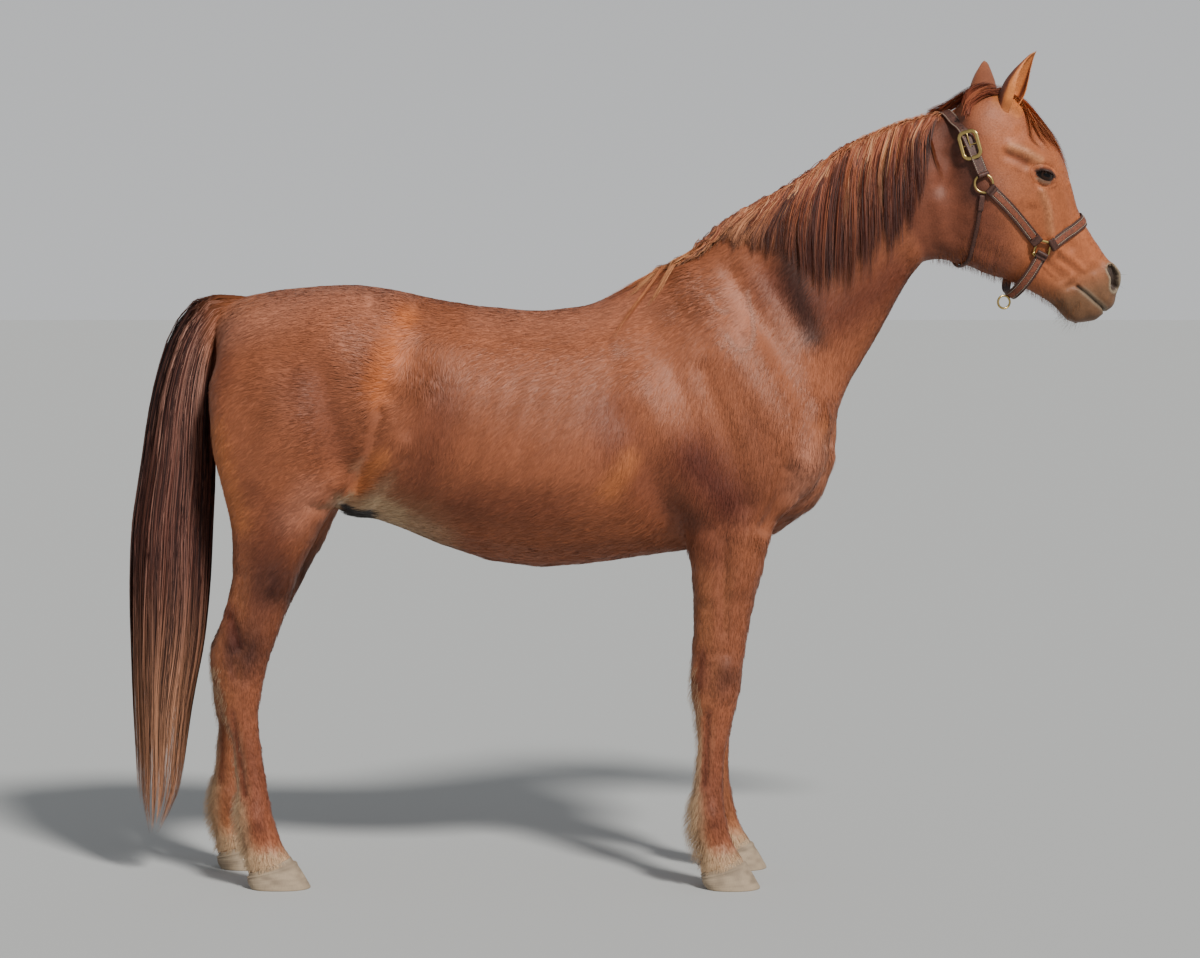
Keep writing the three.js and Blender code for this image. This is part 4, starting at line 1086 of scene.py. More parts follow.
# ---------------------------------------------------------------- unwrap for the coat's colours
# Each region of the skin's shape has its own rectangle of the map: u, v, width, height.
CHARTS = {
    "trunk": (0.01, 0.39, 0.60, 0.60),
    "neck": (0.63, 0.69, 0.36, 0.30),
    "head": (0.63, 0.36, 0.36, 0.31),
    "fore_right": (0.01, 0.01, 0.14, 0.36),
    "fore_left": (0.17, 0.01, 0.14, 0.36),
    "hind_right": (0.33, 0.01, 0.14, 0.36),
    "hind_left": (0.49, 0.01, 0.14, 0.36),
    "tail": (0.65, 0.01, 0.34, 0.33),
}
PATCH = 0.003                      # how wide each tuft's patch of the map is


def unwrapped(points):
    """The place of each point on the unwrap: along each part of the body, and round it."""
    x, z = body_place(points)
    y = points[:, 1]
    down, out, deep = head_place(points)
    along = (x + 0.98) / 1.55
    around = np.arctan2(y, z - 1.10) / (2 * math.pi) + 0.5
    chart = np.full(len(points), "trunk", dtype="<U12")
    neck = (x - 0.236) * 0.78 + (z - 1.517) * 0.61 > -0.02
    chart[neck] = "neck"
    along = np.where(neck, (x - 0.2) * 0.8 / 0.75 + (z - 1.4) * 0.3, along)
    axis_z = 1.25 + (x - 0.4) * 0.75
    around = np.where(neck, np.arctan2(y, z - axis_z) / (2 * math.pi) + 0.5, around)
    head = neck & (down > -0.04)
    chart[head] = "head"
    along = np.where(head, (down + 0.05) / 0.66, along)
    around = np.where(head, np.arctan2(out, deep - 0.08) / (2 * math.pi) + 0.5, around)
    leg = z < 0.80
    fore = x > MIDDLE_X
    axis_x = np.where(fore, 0.27, -0.80 + 0.15 * np.clip(z - 0.5, 0, 1))
    for name in LEGS:
        mine = leg & (fore == name.startswith("fore")) & ((y > 0) == name.endswith("left"))
        chart[mine] = name
    leg &= (x > -0.93) | (y * y > 0.08**2)
    around = np.where(leg, np.arctan2(x - axis_x, np.abs(y) - 0.134) / (2 * math.pi) + 0.5, around)
    along = np.where(leg, z / 0.82, along)
    tail = x < -0.93
    chart[tail] = "tail"
    along = np.where(tail, z / 1.45, along)
    around = np.where(tail, np.arctan2(x + 1.0, y) / (2 * math.pi) + 0.5, around)
    uv = np.stack([around, along], axis=1) % 1.0
    place = np.array([CHARTS[name] for name in CHARTS])
    index = np.array([list(CHARTS).index(name) for name in chart])
    low, size = place[index, :2], place[index, 2:]
    return low + size * uv


# ---------------------------------------------------------------- materials
def new_material(name):
    material = bpy.data.materials.new(name)
    material.use_nodes = True
    return material, material.node_tree, material.node_tree.nodes["Principled BSDF"]


def add_node(tree, kind, **settings):
    node = tree.nodes.new(kind)
    for key, value in settings.items():
        if key in node.inputs:
            node.inputs[key].default_value = value
        else:
            setattr(node, key, value)
    return node


def noise_node(tree, scale, detail=3.0, vector=None):
    node = add_node(tree, "ShaderNodeTexNoise", Scale=scale, Detail=detail)
    if vector is not None:
        tree.links.new(vector, node.inputs["Vector"])
    return node


def object_vector(tree, scale=(1, 1, 1)):
    coordinates = add_node(tree, "ShaderNodeTexCoord")
    mapping = add_node(tree, "ShaderNodeMapping", Scale=scale)
    tree.links.new(coordinates.outputs["Object"], mapping.inputs["Vector"])
    return mapping.outputs["Vector"]


def varied(tree, colour, amount, factor):
    """A colour made lighter and darker by up to an amount, by a factor from 0 to 1."""
    remap = add_node(tree, "ShaderNodeMapRange")
    remap.inputs["To Min"].default_value = 1 - amount
    remap.inputs["To Max"].default_value = 1 + amount
    tree.links.new(factor, remap.inputs["Value"])
    scale = add_node(tree, "ShaderNodeVectorMath", operation="SCALE")
    tree.links.new(colour, scale.inputs[0])
    tree.links.new(remap.outputs["Result"], scale.inputs["Scale"])
    return scale.outputs["Vector"]


def bump(tree, height, shader, strength, distance):
    node = add_node(tree, "ShaderNodeBump", Strength=strength, Distance=distance)
    tree.links.new(height, node.inputs["Height"])
    tree.links.new(node.outputs["Normal"], shader.inputs["Normal"])


def finish(shader, **values):
    """Sets plain values on a shader's own sockets, named with _ for spaces."""
    sockets = {socket.name.lower().replace(" ", "_"): socket for socket in shader.inputs}
    for name, value in values.items():
        sockets[name].default_value = value


def painted(tree, shader, factor, amount):
    """The mesh's own colours as the base colour, lighter and darker by a pattern."""
    colour = add_node(tree, "ShaderNodeVertexColor", layer_name="coat")
    tree.links.new(varied(tree, colour.outputs["Color"], amount, factor), shader.inputs["Base Color"])


def between_colours(tree, shader, factor, low_colour, high_colour, low=0.0, high=1.0):
    """A base colour that runs between two colours as the factor runs from low to high."""
    ramp = add_node(tree, "ShaderNodeValToRGB")
    for element, at, colour in zip(ramp.color_ramp.elements, (low, high), (low_colour, high_colour)):
        element.position = at
        element.color = (*colour, 1)
    tree.links.new(factor, ramp.inputs["Fac"])
    tree.links.new(ramp.outputs["Color"], shader.inputs["Base Color"])


def skin_material():
    """The close fur under the tufts, as colour and bump in fine even noise."""
    material, tree, shader = new_material("coat_skin")
    grain = add_node(tree, "ShaderNodeAttribute", attribute_name="grain")
    hairs = noise_node(tree, 1.0, 4.0, grain.outputs["Vector"])
    painted(tree, shader, hairs.outputs["Fac"], 0.35)
    finish(shader, roughness=0.52, specular_ior_level=0.30, sheen_weight=0.05, sheen_roughness=0.4)
    bump(tree, hairs.outputs["Fac"], shader, 0.5, 0.0012)
    return material


def hair_material(name, specular, sheen):
    material, tree, shader = new_material(name)
    grain = noise_node(tree, 900, 2.0, object_vector(tree))
    painted(tree, shader, grain.outputs["Fac"], 0.15)
    finish(shader, roughness=0.50, specular_ior_level=specular, sheen_weight=sheen, sheen_roughness=0.4)
    return material


# ---------------------------------------------------------------- attributes on meshes
def paint(mesh, colours):
    colours = np.clip(colours, 0, 1)
    layer = mesh.color_attributes.new("coat", "FLOAT_COLOR", "POINT")
    full = np.ones((len(colours), 4), np.float32)
    full[:, :3] = colours
    layer.data.foreach_set("color", full.ravel())


def write_vectors(mesh, name, vectors):
    layer = mesh.attributes.new(name, "FLOAT_VECTOR", "POINT")
    layer.data.foreach_set("vector", np.asarray(vectors, np.float32).ravel())


FUR_GRAIN = 0.004                  # the size of the marks of the fur on the skin


def finish_skin(mesh):
    shade_smoothly(mesh)
    points, normals = points_of(mesh), normals_of(mesh)
    paint(mesh, coat_colour(points, normals))
    write_vectors(mesh, "grain", points / FUR_GRAIN)
    mesh.materials.append(skin_material())
    skin = add_object("skin", mesh)
    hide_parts(*TRUNK_NODES, *LEG_NODES, "ear_right", "ear_left")
    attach(skin, "root")
    return skin


skin_mesh = make_skin_mesh()
skin = finish_skin(skin_mesh)
SKIN_POINTS, SKIN_NORMALS = points_of(skin_mesh), normals_of(skin_mesh)
SKIN_TREE, SKIN_TRIANGLES = tree_of(skin_mesh)


# ---------------------------------------------------------------- tufts and locks
def scattered(random, count, density):
    """Random places on the skin: points, normals. `density` gives each triangle's share."""
    corners = SKIN_POINTS[SKIN_TRIANGLES]
    centres = corners.mean(axis=1)
    normals = unit(SKIN_NORMALS[SKIN_TRIANGLES].mean(axis=1))
    first, second = corners[:, 1] - corners[:, 0], corners[:, 2] - corners[:, 0]
    area = np.linalg.norm(np.cross(first, second), axis=1)
    weight = area * density(centres, normals)
    chosen = random.choice(len(weight), count, p=weight / weight.sum())
    a, b = random.random((2, count))
    flip = a + b > 1
    a, b = np.where(flip, 1 - a, a), np.where(flip, 1 - b, b)
    share = np.stack([1 - a - b, a, b], axis=1)[..., None]
    places = (corners[chosen] * share).sum(axis=1)
    turned = unit((SKIN_NORMALS[SKIN_TRIANGLES[chosen]] * share).sum(axis=1))
    return places, turned


def ribbons(name, spines, widths, across, colours, roots, material, soft_normals=None):
    """A piece made of many flat locks, each along its spine and tapering to its tip.

    spines (count, steps, 3), widths (count, steps), across (count, steps, 3), colours
    (count, steps, 3), roots (count, 3).
    """
    count, steps, _ = spines.shape
    half = across * widths[..., None] / 2
    pairs = np.stack([spines - half, spines + half], axis=2)
    points = pairs.reshape(-1, 3)
    base = np.arange(count)[:, None] * steps * 2
    step = np.arange(steps - 1)[None, :] * 2
    first = (base + step).ravel()
    faces = np.stack([first, first + 2, first + 3, first + 1], axis=1)
    mesh = mesh_from(name, points, faces)
    paint(mesh, np.repeat(colours.reshape(-1, 3), 2, axis=0))
    uv_patches(mesh, roots, count, steps)
    if soft_normals is not None:
        mesh.normals_split_custom_set_from_vertices(np.repeat(soft_normals.reshape(-1, 3), 2, axis=0))
    mesh.materials.append(material)
    piece = add_object(name, mesh)
    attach(piece, "root")
    return piece


def uv_patches(mesh, roots, count, steps):
    """Gives each lock a small patch of the map at its root's place on the skin's unwrap."""
    layer = mesh.uv_layers.new(name="OFBake")
    corner = unwrapped(roots) - PATCH / 2
    along = np.linspace(0, PATCH, steps)
    uv = np.empty((count, steps, 2, 2))
    uv[..., 0] = corner[:, None, None, 0] + np.array([0, PATCH])[None, None, :]
    uv[..., 1] = corner[:, None, None, 1] + along[None, :, None]
    uv = np.clip(uv, 0.0005, 0.9995).reshape(-1, 2)
    index = indices_of(mesh.loops, "vertex_index", 1)[:, 0]
    layer.data.foreach_set("uv", uv[index].astype(np.float32).ravel())


def tufts(name, random, count, density, length, width, lift,
          steps, curl=0.0, brightness=(0.75, 1.2), tip_colour=None, paling=None, way=None):
    """Short locks rooted on the skin that follow the lie of the coat.

    length, width and lift are functions of the roots' places, in metres. curl bends the locks
    from side to side. paling is how late and how much they take their tip's colour.
    """
    roots, normals = scattered(random, count, density)
    lie = lie_of_coat(roots, normals) if way is None else way(roots, normals)
    sideways = unit(np.cross(normals, lie))
    lie = unit(lie + sideways * random.normal(0, 0.16, (count, 1)))
    sideways = unit(np.cross(normals, lie))
    long = length(roots) * random.uniform(0.7, 1.25, count)
    high = lift(roots) * random.uniform(0.5, 1.5, count)
    t = np.linspace(0, 1, steps)
    spines = roots[:, None] + lie[:, None] * (long[:, None] * t)[..., None]
    rise = high[:, None] * (np.sin(t * math.pi * 0.62))[None] - 0.0008 * (t == 0)[None]
    spines += normals[:, None] * rise[..., None]
    wave = curl * long[:, None] * np.sin(t * 4.5 + random.uniform(0, 6.28, (count, 1))) * t
    spines += sideways[:, None] * wave[..., None]
    taper = np.clip(1.15 - t ** 1.6, 0.06, 1)
    widths = (width(roots) * random.uniform(0.7, 1.3, count))[:, None] * taper
    roll = random.normal(0, 0.25, count)[:, None]
    across = unit(sideways * np.cos(roll) + normals * np.sin(roll))
    across = np.repeat(across[:, None], steps, axis=1)
    tone = random.uniform(*brightness, (count, 1, 1))
    colours = np.repeat(coat_colour(roots, normals)[:, None], steps, axis=1) * tone
    if tip_colour is not None:
        colours = mix(colours, tip_colour, (t ** paling[0])[None, :, None] * paling[1])
    soft = unit(np.repeat(normals[:, None], steps, axis=1) + lie[:, None] * 0.25 * (t - 0.5)[None, :, None]
                + across * random.normal(0, 0.14, (count, 1, 1)))
    return ribbons(name, spines, widths, across, colours, roots, FUR, soft)


FUR = hair_material("coat_fur", 0.27, 0.04)
LONG_HAIR = hair_material("long_hair", 0.16, 0.0)


def where_trunk(side, low=-2.0, high=2.0):
    """One side of the trunk between two places along it."""
    def density(centres, normals):
        x, z = body_place(centres)
        mine = (centres[:, 1] * side > 0) & (x > low) & (x < high)
        return mine * smooth(0.76, 0.82, z) * smooth(0.62, 0.60, x) * smooth(-0.97, -0.93, x)
    return density


def where_neck(centres, normals):
    x, _ = body_place(centres)
    return smooth(0.60, 0.62, x) * (1 - head_share(centres))


def where_legs(front):
    def density(centres, normals):
        x, z = body_place(centres)
        return (z < 0.82) * ((x > MIDDLE_X) == front) * smooth(0.03, 0.06, z) * smooth(1.1, 0.6, z)
    return density


def where_head(centres, normals):
    down, _, deep = head_place(centres)
    bare = smooth(0.51, 0.44, down + np.maximum(deep - 0.03, 0) * 0.2)
    for side in SIDES:
        p, q, o = eye_place(centres, side)
        bare = bare * np.where(o > 0, smooth(1.15, 1.50, opening_reach(p, q)), 1)
    return head_share(centres) * bare


def ears_share(points):
    return np.maximum(ear_share(points, "right"), ear_share(points, "left"))


def body_length(points):
    x, z = body_place(points)
    length = np.full(len(points), 0.025)
    length = mix(length, 0.014, smooth(0.85, 0.50, z))
    length = mix(length, 0.036, spot(x, z, (-0.45, 1.20), 0.14))
    length = mix(length, 0.0085, head_share(points, -0.06, 0.06))
    return mix(length, 0.0050, ears_share(points))


def body_width(points):
    """Wider on the left, where fewer tufts cover the same skin."""
    right = points[:, 1] < 0
    width = mix(np.where(right, 0.0018, 0.0024), 0.0015, smooth(0.85, 0.50, points[:, 2]))
    width = mix(width, 0.00085, head_share(points, -0.06, 0.06))
    return mix(width, 0.0007, ears_share(points))


def body_lift(points):
    x, z = body_place(points)
    lift = np.full(len(points), 0.0014)
    lift = mix(lift, 0.0032, spot(x, z, (-0.45, 1.20), 0.12))
    lift = mix(lift, 0.0040, spot(x, z, (0.20, 1.40), 0.13))
    return mix(lift, 0.0005, head_share(points, -0.06, 0.06))


MID_TRUNK = -0.22                  # where the right side's coat is parted into two pieces


def make_coat():
    """The short coat in seven pieces. The head has finer, flatter and more even tufts."""
    body = {"steps": 3, "brightness": (0.86, 1.16)}
    head = {"steps": 2, "brightness": (0.92, 1.14)}
    pieces = [
        ("coat_quarters_right", 40000, where_trunk(RIGHT, high=MID_TRUNK), body),
        ("coat_shoulder_right", 40000, where_trunk(RIGHT, low=MID_TRUNK), body),
        ("coat_trunk_left", 40000, where_trunk(LEFT), body),
        ("coat_neck", 20000, where_neck, body),
        ("coat_forelegs", 22000, where_legs(True), body),
        ("coat_hindlegs", 24000, where_legs(False), body),
        ("coat_head", 92000, where_head, head),
    ]
    for order, (name, count, density, form) in enumerate(pieces):
        random = np.random.default_rng(SEED + order)
        tufts(name, random, count, density, body_length, body_width, body_lift, **form)


make_coat()


# ---------------------------------------------------------------- longer hair on legs, face and ears
def backwards_down(lean):
    """A way for hair that hangs and leans backwards."""
    return lambda roots, normals: unit(np.array([-lean, 0, -1.0]) + normals * 0.25)


def over_the_hoof(roots, normals):
    return unit(normals * np.array([0.55, 0.55, 0]) + np.array([0, 0, -1.0]))


def on_legs(low, high, facing):
    """The part of the legs between two heights that faces backwards by at least `facing`."""
    def density(centres, normals):
        x, z = body_place(centres)
        backwards = smooth(facing, facing - 0.25, normals[:, 0])
        return (z > low) * (z < high) * backwards * (1 - in_grooves(x, z))
    return density


def everywhere(value):
    return lambda points: np.full(len(points), value)


def fore_and_hind(fore, hind):
    return lambda points: np.where(body_place(points)[0] > MIDDLE_X, fore, hind)


def along_jaw(centres, normals):
    down, _, deep = head_place(centres)
    edge = smooth(0.2, 0.7, normals @ DEEP) * head_share(centres)
    return edge * smooth(0.20, 0.26, down) * smooth(0.56, 0.50, down) * (deep > 0.09)


def jaw_way(roots, normals):
    return unit(DOWN * 0.9 + DEEP * 0.45 + normals * 0.15)


def on_chin(centres, normals):
    down, _, deep = head_place(centres)
    return head_share(centres) * smooth(0.49, 0.53, down) * smooth(0.075, 0.10, deep)


def chin_way(roots, normals):
    return unit(normals + DEEP * 0.6 - DOWN * 0.15)


def on_muzzle(centres, normals):
    down, out, _ = head_place(centres)
    return head_share(centres) * smooth(0.47, 0.52, down) * (np.abs(out) > 0.02)


def in_ears(side):
    """The hollow of an ear."""
    def density(centres, normals):
        share, _, _ = ear_place(centres, side)
        faces_in = smooth(0.2, 0.6, normals @ ear_frame(side)[2])
        return ear_share(centres, side) * faces_in * smooth(0.05, 0.12, share) * smooth(0.9, 0.75, share)
    return density


def ear_way(side):
    def way(roots, normals):
        _, axis, opens, across = ear_frame(side)
        inwards = -np.sign(ear_place(roots, side)[1])[:, None] * across
        return unit(axis * 0.9 + opens * 0.05 + inwards * 0.25)
    return way


def on_patch_rims(centres, normals):
    x, z = body_place(centres)
    share = sum(stroke_weight(x, z, path, 0.006) for path in PATCH_RIMS)
    share = share + 0.20 * sum(spot(x, z, at, radius) for at, radius in CRINKLED_SPOTS)
    return share * (centres[:, 1] < 0)


FLAXEN, SLIGHT = (0.7, 0.9), (1.5, 0.6)    # how late and how much hair pales towards its tip


def longer_hair(name, seed, count, where, length, width, lift, steps, curl, tip, paling, way):
    random = np.random.default_rng(seed)
    tufts(name, random, count, where, length, everywhere(width), everywhere(lift), steps, curl,
          tip_colour=tip, paling=paling, way=way)


def make_longer_hair():
    # name, count, where it grows, length, width, lift, steps, curl, colour of the tip, paling, way
    rows = [
        ("feather_cannons", 3600, on_legs(0.20, 0.53, -0.40), fore_and_hind(0.024, 0.013),
         0.0008, 0.0030, 4, 0.06, CREAM, FLAXEN, backwards_down(0.10)),
        ("feather_fetlocks", 3800, on_legs(0.085, 0.235, -0.45), fore_and_hind(0.036, 0.022),
         0.0008, 0.0060, 6, 0.10, CREAM, FLAXEN, backwards_down(0.25)),
        ("coronet_hair", 5400, on_legs(0.052, 0.090, 2.0), everywhere(0.018),
         0.0009, 0.0020, 4, 0.05, CREAM, FLAXEN, over_the_hoof),
        ("jaw_hair", 1500, along_jaw, everywhere(0.016),
         0.0006, 0.0008, 5, 0.08, BRIGHT_COPPER, SLIGHT, jaw_way),
        ("chin_whiskers", 60, on_chin, everywhere(0.032),
         0.0004, 0.0010, 5, 0.10, LIP_GREY, SLIGHT, chin_way),
        ("muzzle_whiskers", 70, on_muzzle, everywhere(0.016),
         0.0004, 0.0005, 4, 0.10, LIP_GREY, SLIGHT, chin_way),
        ("crinkled_hair", 2400, on_patch_rims, everywhere(0.011),
         0.0009, 0.0030, 5, 0.22, CRINKLE, SLIGHT, None),
        ("ear_hair_right", 420, in_ears("right"), everywhere(0.010),
         0.0006, 0.0009, 4, 0.05, TAN, SLIGHT, ear_way("right")),
        ("ear_hair_left", 420, in_ears("left"), everywhere(0.010),
         0.0006, 0.0009, 4, 0.05, TAN, SLIGHT, ear_way("left")),
    ]
    for order, (name, *row) in enumerate(rows):
        longer_hair(name, SEED + 60 + order, *row)


LASH_COUNT, LASH_STEPS = 90, 6
LASH_REACH = 1.04                  # the ring of the lid that the lashes grow on
LASH_ANGLES = (200, 340)           # along the upper lid
LASH_LENGTH = (0.008, 0.013)
LASH_WIDTH = 0.0004
LASH_ROOT_HEIGHT = 0.0052          # from the eyeball to their roots
LASH_DROOP = 0.003


def make_lashes():
    """Lashes along both upper lids."""
    for order, side in enumerate(SIDES):
        random = np.random.default_rng(SEED + 80 + order)
        along, across, outwards = eye_frame(side)
        p, q = lid_place(LASH_REACH, np.radians(random.uniform(*LASH_ANGLES, LASH_COUNT)))
        ball = np.sqrt(EYE_RADIUS**2 - p**2 - q**2) + LASH_ROOT_HEIGHT
        roots = EYES[side] + p[:, None] * along + q[:, None] * across + ball[:, None] * outwards
        t = np.linspace(0, 1, LASH_STEPS)
        ways = unit(outwards + across * 0.30 + along * (p / EYE_OPENING)[:, None] * 0.5
                    + random.normal(0, 0.08, (len(p), 3)))
        long = random.uniform(*LASH_LENGTH, len(p))
        spines = roots[:, None] + (long[:, None] * t)[..., None] * ways[:, None]
        spines += across * (LASH_DROOP * t**2)[None, :, None]
        widths = LASH_WIDTH * np.clip(1.1 - t, 0.1, 1) * np.ones((len(p), 1))
        sideways = np.repeat(unit(np.cross(ways, across))[:, None], LASH_STEPS, axis=1)
        colours = np.tile(SKIN_DARK, (LASH_COUNT, LASH_STEPS, 1))
        ribbons(f"lashes_{side}", spines, widths, sideways, colours, roots, FUR)


make_longer_hair()
make_lashes()


# ---------------------------------------------------------------- mane and tail
NECK_GRID = 0.005
NECK_LOW, NECK_HIGH = np.array([-0.05, 1.15]), np.array([0.95, 1.95])


def neck_depths():
    """y of the right side's skin over a grid of side-view places, nothing above the crest."""
    size = np.round((NECK_HIGH - NECK_LOW) / NECK_GRID).astype(int)
    depths = np.full(size, np.nan)
    inwards = Vector((0, 1, 0))
    for i in range(size[0]):
        x = NECK_LOW[0] + i * NECK_GRID + DATUM
        for j in range(size[1]):
            start = Vector((x, -1, NECK_LOW[1] + j * NECK_GRID))
            hit = SKIN_TREE.ray_cast(start, inwards)[0]
            if hit is not None:
                depths[i, j] = hit.y
    return depths


def box_blur(grid, rounds):
    for _ in range(rounds):
        padded = np.pad(grid, 1, mode="edge")
        grid = (padded[:-2, 1:-1] + padded[2:, 1:-1] + padded[1:-1, :-2] + padded[1:-1, 2:]
                + 4 * grid) / 8
    return grid


def top_of(column):
    """The height of the highest place of a column of the grid that has skin."""
    filled = np.flatnonzero(~np.isnan(column))
    return NECK_LOW[1] + NECK_GRID * (filled.max() if len(filled) else 0)


NECK_DEPTHS = neck_depths()
CREST = np.array([top_of(column) for column in NECK_DEPTHS])
NECK_SURFACE = box_blur(np.nan_to_num(NECK_DEPTHS, nan=0.0), 6)


def neck_y(x, z):
    """y of the right side of the neck at side-view places."""
    u = np.clip((x - NECK_LOW[0]) / NECK_GRID, 0, NECK_SURFACE.shape[0] - 1.001)
    v = np.clip((z - NECK_LOW[1]) / NECK_GRID, 0, NECK_SURFACE.shape[1] - 1.001)
    i, j = u.astype(int), v.astype(int)
    fu, fv = u - i, v - j
    g = NECK_SURFACE
    return ((g[i, j] * (1 - fu) + g[i + 1, j] * fu) * (1 - fv)
            + (g[i, j + 1] * (1 - fu) + g[i + 1, j + 1] * fu) * fv)


def crest_z(x):
    return np.interp(x, NECK_LOW[0] + NECK_GRID * np.arange(len(CREST)), CREST)


# Where the mane's locks end: the root's x on the crest, then the tip's x and z.
MANE_FALL = np.array([
    (0.250, 0.185, 1.520), (0.300, 0.225, 1.535), (0.360, 0.270, 1.520), (0.420, 0.325, 1.489),
    (0.460, 0.370, 1.475), (0.500, 0.425, 1.455), (0.540, 0.470, 1.400), (0.580, 0.515, 1.345),
    (0.620, 0.563, 1.335), (0.660, 0.610, 1.375), (0.700, 0.652, 1.405), (0.735, 0.693, 1.440),
    (0.765, 0.722, 1.520), (0.790, 0.742, 1.580), (0.806, 0.756, 1.620),
])
MANE_ENDS = (0.250, 0.806)
MANE_COPPER = from_srgb(168, 96, 64)
MANE_RED = from_srgb(106, 52, 37)
MANE_DARK = from_srgb(54, 26, 21)
MANE_BLOND = from_srgb(222, 162, 116)


def locks(random, count, per_lock):
    """Which lock each strand belongs to, and its place across the lock from -1 to 1."""
    lock = np.repeat(np.arange(count), per_lock)
    place = random.uniform(-1, 1, len(lock))
    return lock, place


HAIR_ROLL, HAIR_TURN, HAIR_LEAN = 0.45, 0.45, 0.2   # how unevenly the long hairs face


def strands(name, random, spines, outwards, width, colours):
    """Long hairs as ribbons that face along `outwards`."""
    count, steps, _ = spines.shape
    t = np.linspace(0, 1, steps)
    tangents = tangents_of(spines)
    sideways = unit(np.cross(outwards, tangents))
    turn = random.normal(0, HAIR_ROLL, (count, 1, 1))
    across = unit(sideways * np.cos(turn) + outwards * np.sin(turn))
    widths = width[:, None] * np.clip(1.08 - t**2.5, 0.10, 1)
    aside = across * random.normal(0, HAIR_TURN, (count, 1, 1))
    soft = unit(outwards + aside + np.cross(tangents, across) * HAIR_LEAN)
    return ribbons(name, spines, widths, across, colours, spines[:, 0], LONG_HAIR, soft)


MANE_STEPS = 12
CREST_WIDTH = (-0.014, 0.012)      # y of the roots along the crest
STRAYS = 0.06                      # the share of the mane's hairs that leave their lock


def hung_locks(random, count, per_lock, depth, length, widths):
    """Locks that leave the crest backwards and fall over the neck's right side."""
    lock, place = locks(random, count, per_lock)
    total = len(lock)
    t = np.linspace(0, 1, MANE_STEPS)
    root_x = np.sort(random.uniform(*MANE_ENDS, count))
    tip_x, tip_z = (np.interp(root_x, MANE_FALL[:, 0], MANE_FALL[:, k]) for k in (1, 2))
    tip_x = tip_x + random.normal(0, 0.010, count)
    drop = np.clip(crest_z(tip_x) - tip_z, 0.012, None) * random.uniform(0.86, 1.05, count)
    fallen = t * (length * random.uniform(0.66, 1.0, count) ** 0.5)[:, None]
    turn = mix(1.7, 5.5, smooth(0.42, 0.62, root_x))[:, None]
    x = root_x[:, None] + (tip_x - root_x)[:, None] * (1 - (1 - fallen) ** turn)
    z = crest_z(x) - drop[:, None] * fallen**1.25
    spread = mix(widths[0], widths[1], t**0.6) * random.uniform(0.5, 1.6, (count, 1))
    wave = random.uniform(0, 2 * math.pi, (count, 1))
    x = x + 0.0045 * np.sin(t * 6 + wave) * t
    stray = random.normal(0, 0.0026, (total, 1))
    stray = stray + (random.random((total, 1)) < STRAYS) * random.normal(0, 0.012, (total, 1))
    x = x[lock] + place[:, None] * spread[lock] + stray * t
    top = z[lock][:, :1]
    z = top - (top - z[lock]) * random.uniform(0.80, 1.0, (total, 1))
    z += random.uniform(0.001, 0.012, (total, 1)) * np.sin(math.pi * np.clip(t * 3.4, 0, 1))
    own = random.uniform(0.35, 1.0, count)[lock] * random.uniform(0.75, 1.1, total)
    lift = depth * own[:, None] * smooth(0, 0.3, t) * mix(1.0, 0.6, t) + 0.003
    over_crest = smooth(0.12, 0.0, t)
    y = mix(neck_y(x, z), random.uniform(*CREST_WIDTH, (total, 1)), over_crest) - lift
    spines = np.stack([x + DATUM, y, z], axis=2)
    outwards = np.zeros_like(spines) + np.array([0, -1.0, 0.35])
    outwards = unit(outwards + np.array([0, 0, 1.0]) * over_crest[:, None])
    return spines, outwards, lock, t


def make_mane_layer(name, seed, count, per_lock, depth, shades, length=1.0,
                    widths=(0.009, 0.0016), hair_width=(0.0008, 0.0013)):
    """One layer of the mane. `shades` are its dark, middle and light colours."""
    random = np.random.default_rng(seed)
    spines, outwards, lock, t = hung_locks(random, count, per_lock, depth, length, widths)
    total = len(lock)
    streak = random.random(count)[lock] * 0.40 + random.random(total) * 0.60
    dark, middle, light = shades
    colour = blend(np.tile(dark, (total, 1)), middle, smooth(0.30, 0.60, streak))
    colour = blend(colour, light, smooth(0.62, 0.80, streak))
    colours = np.repeat(colour[:, None], len(t), axis=1)
    # the crest is bleached, the rear end of the mane more so, and the lower part is dark
    rear = smooth(0.56, 0.34, spines[:, 0, 0] - DATUM)[:, None]
    pale = smooth(0.3, 0.8, streak)[:, None]
    colours = blend(colours, MANE_BLOND, 0.45 * rear * smooth(0.05, 0.4, t) * pale)
    colours = blend(colours, MANE_COPPER, 0.30 * smooth(0.35, 0.05, t)[None] * np.ones((total, 1)))
    colours = blend(colours, MANE_DARK, 0.62 * smooth(0.30, 0.85, t)[None] * (1 - rear))
    width = random.uniform(*hair_width, total)
    return strands(name, random, spines, outwards, width, colours)


CREST_HAIRS, CREST_STEPS = 3200, 7
CREST_ENDS = (0.250, 0.815)


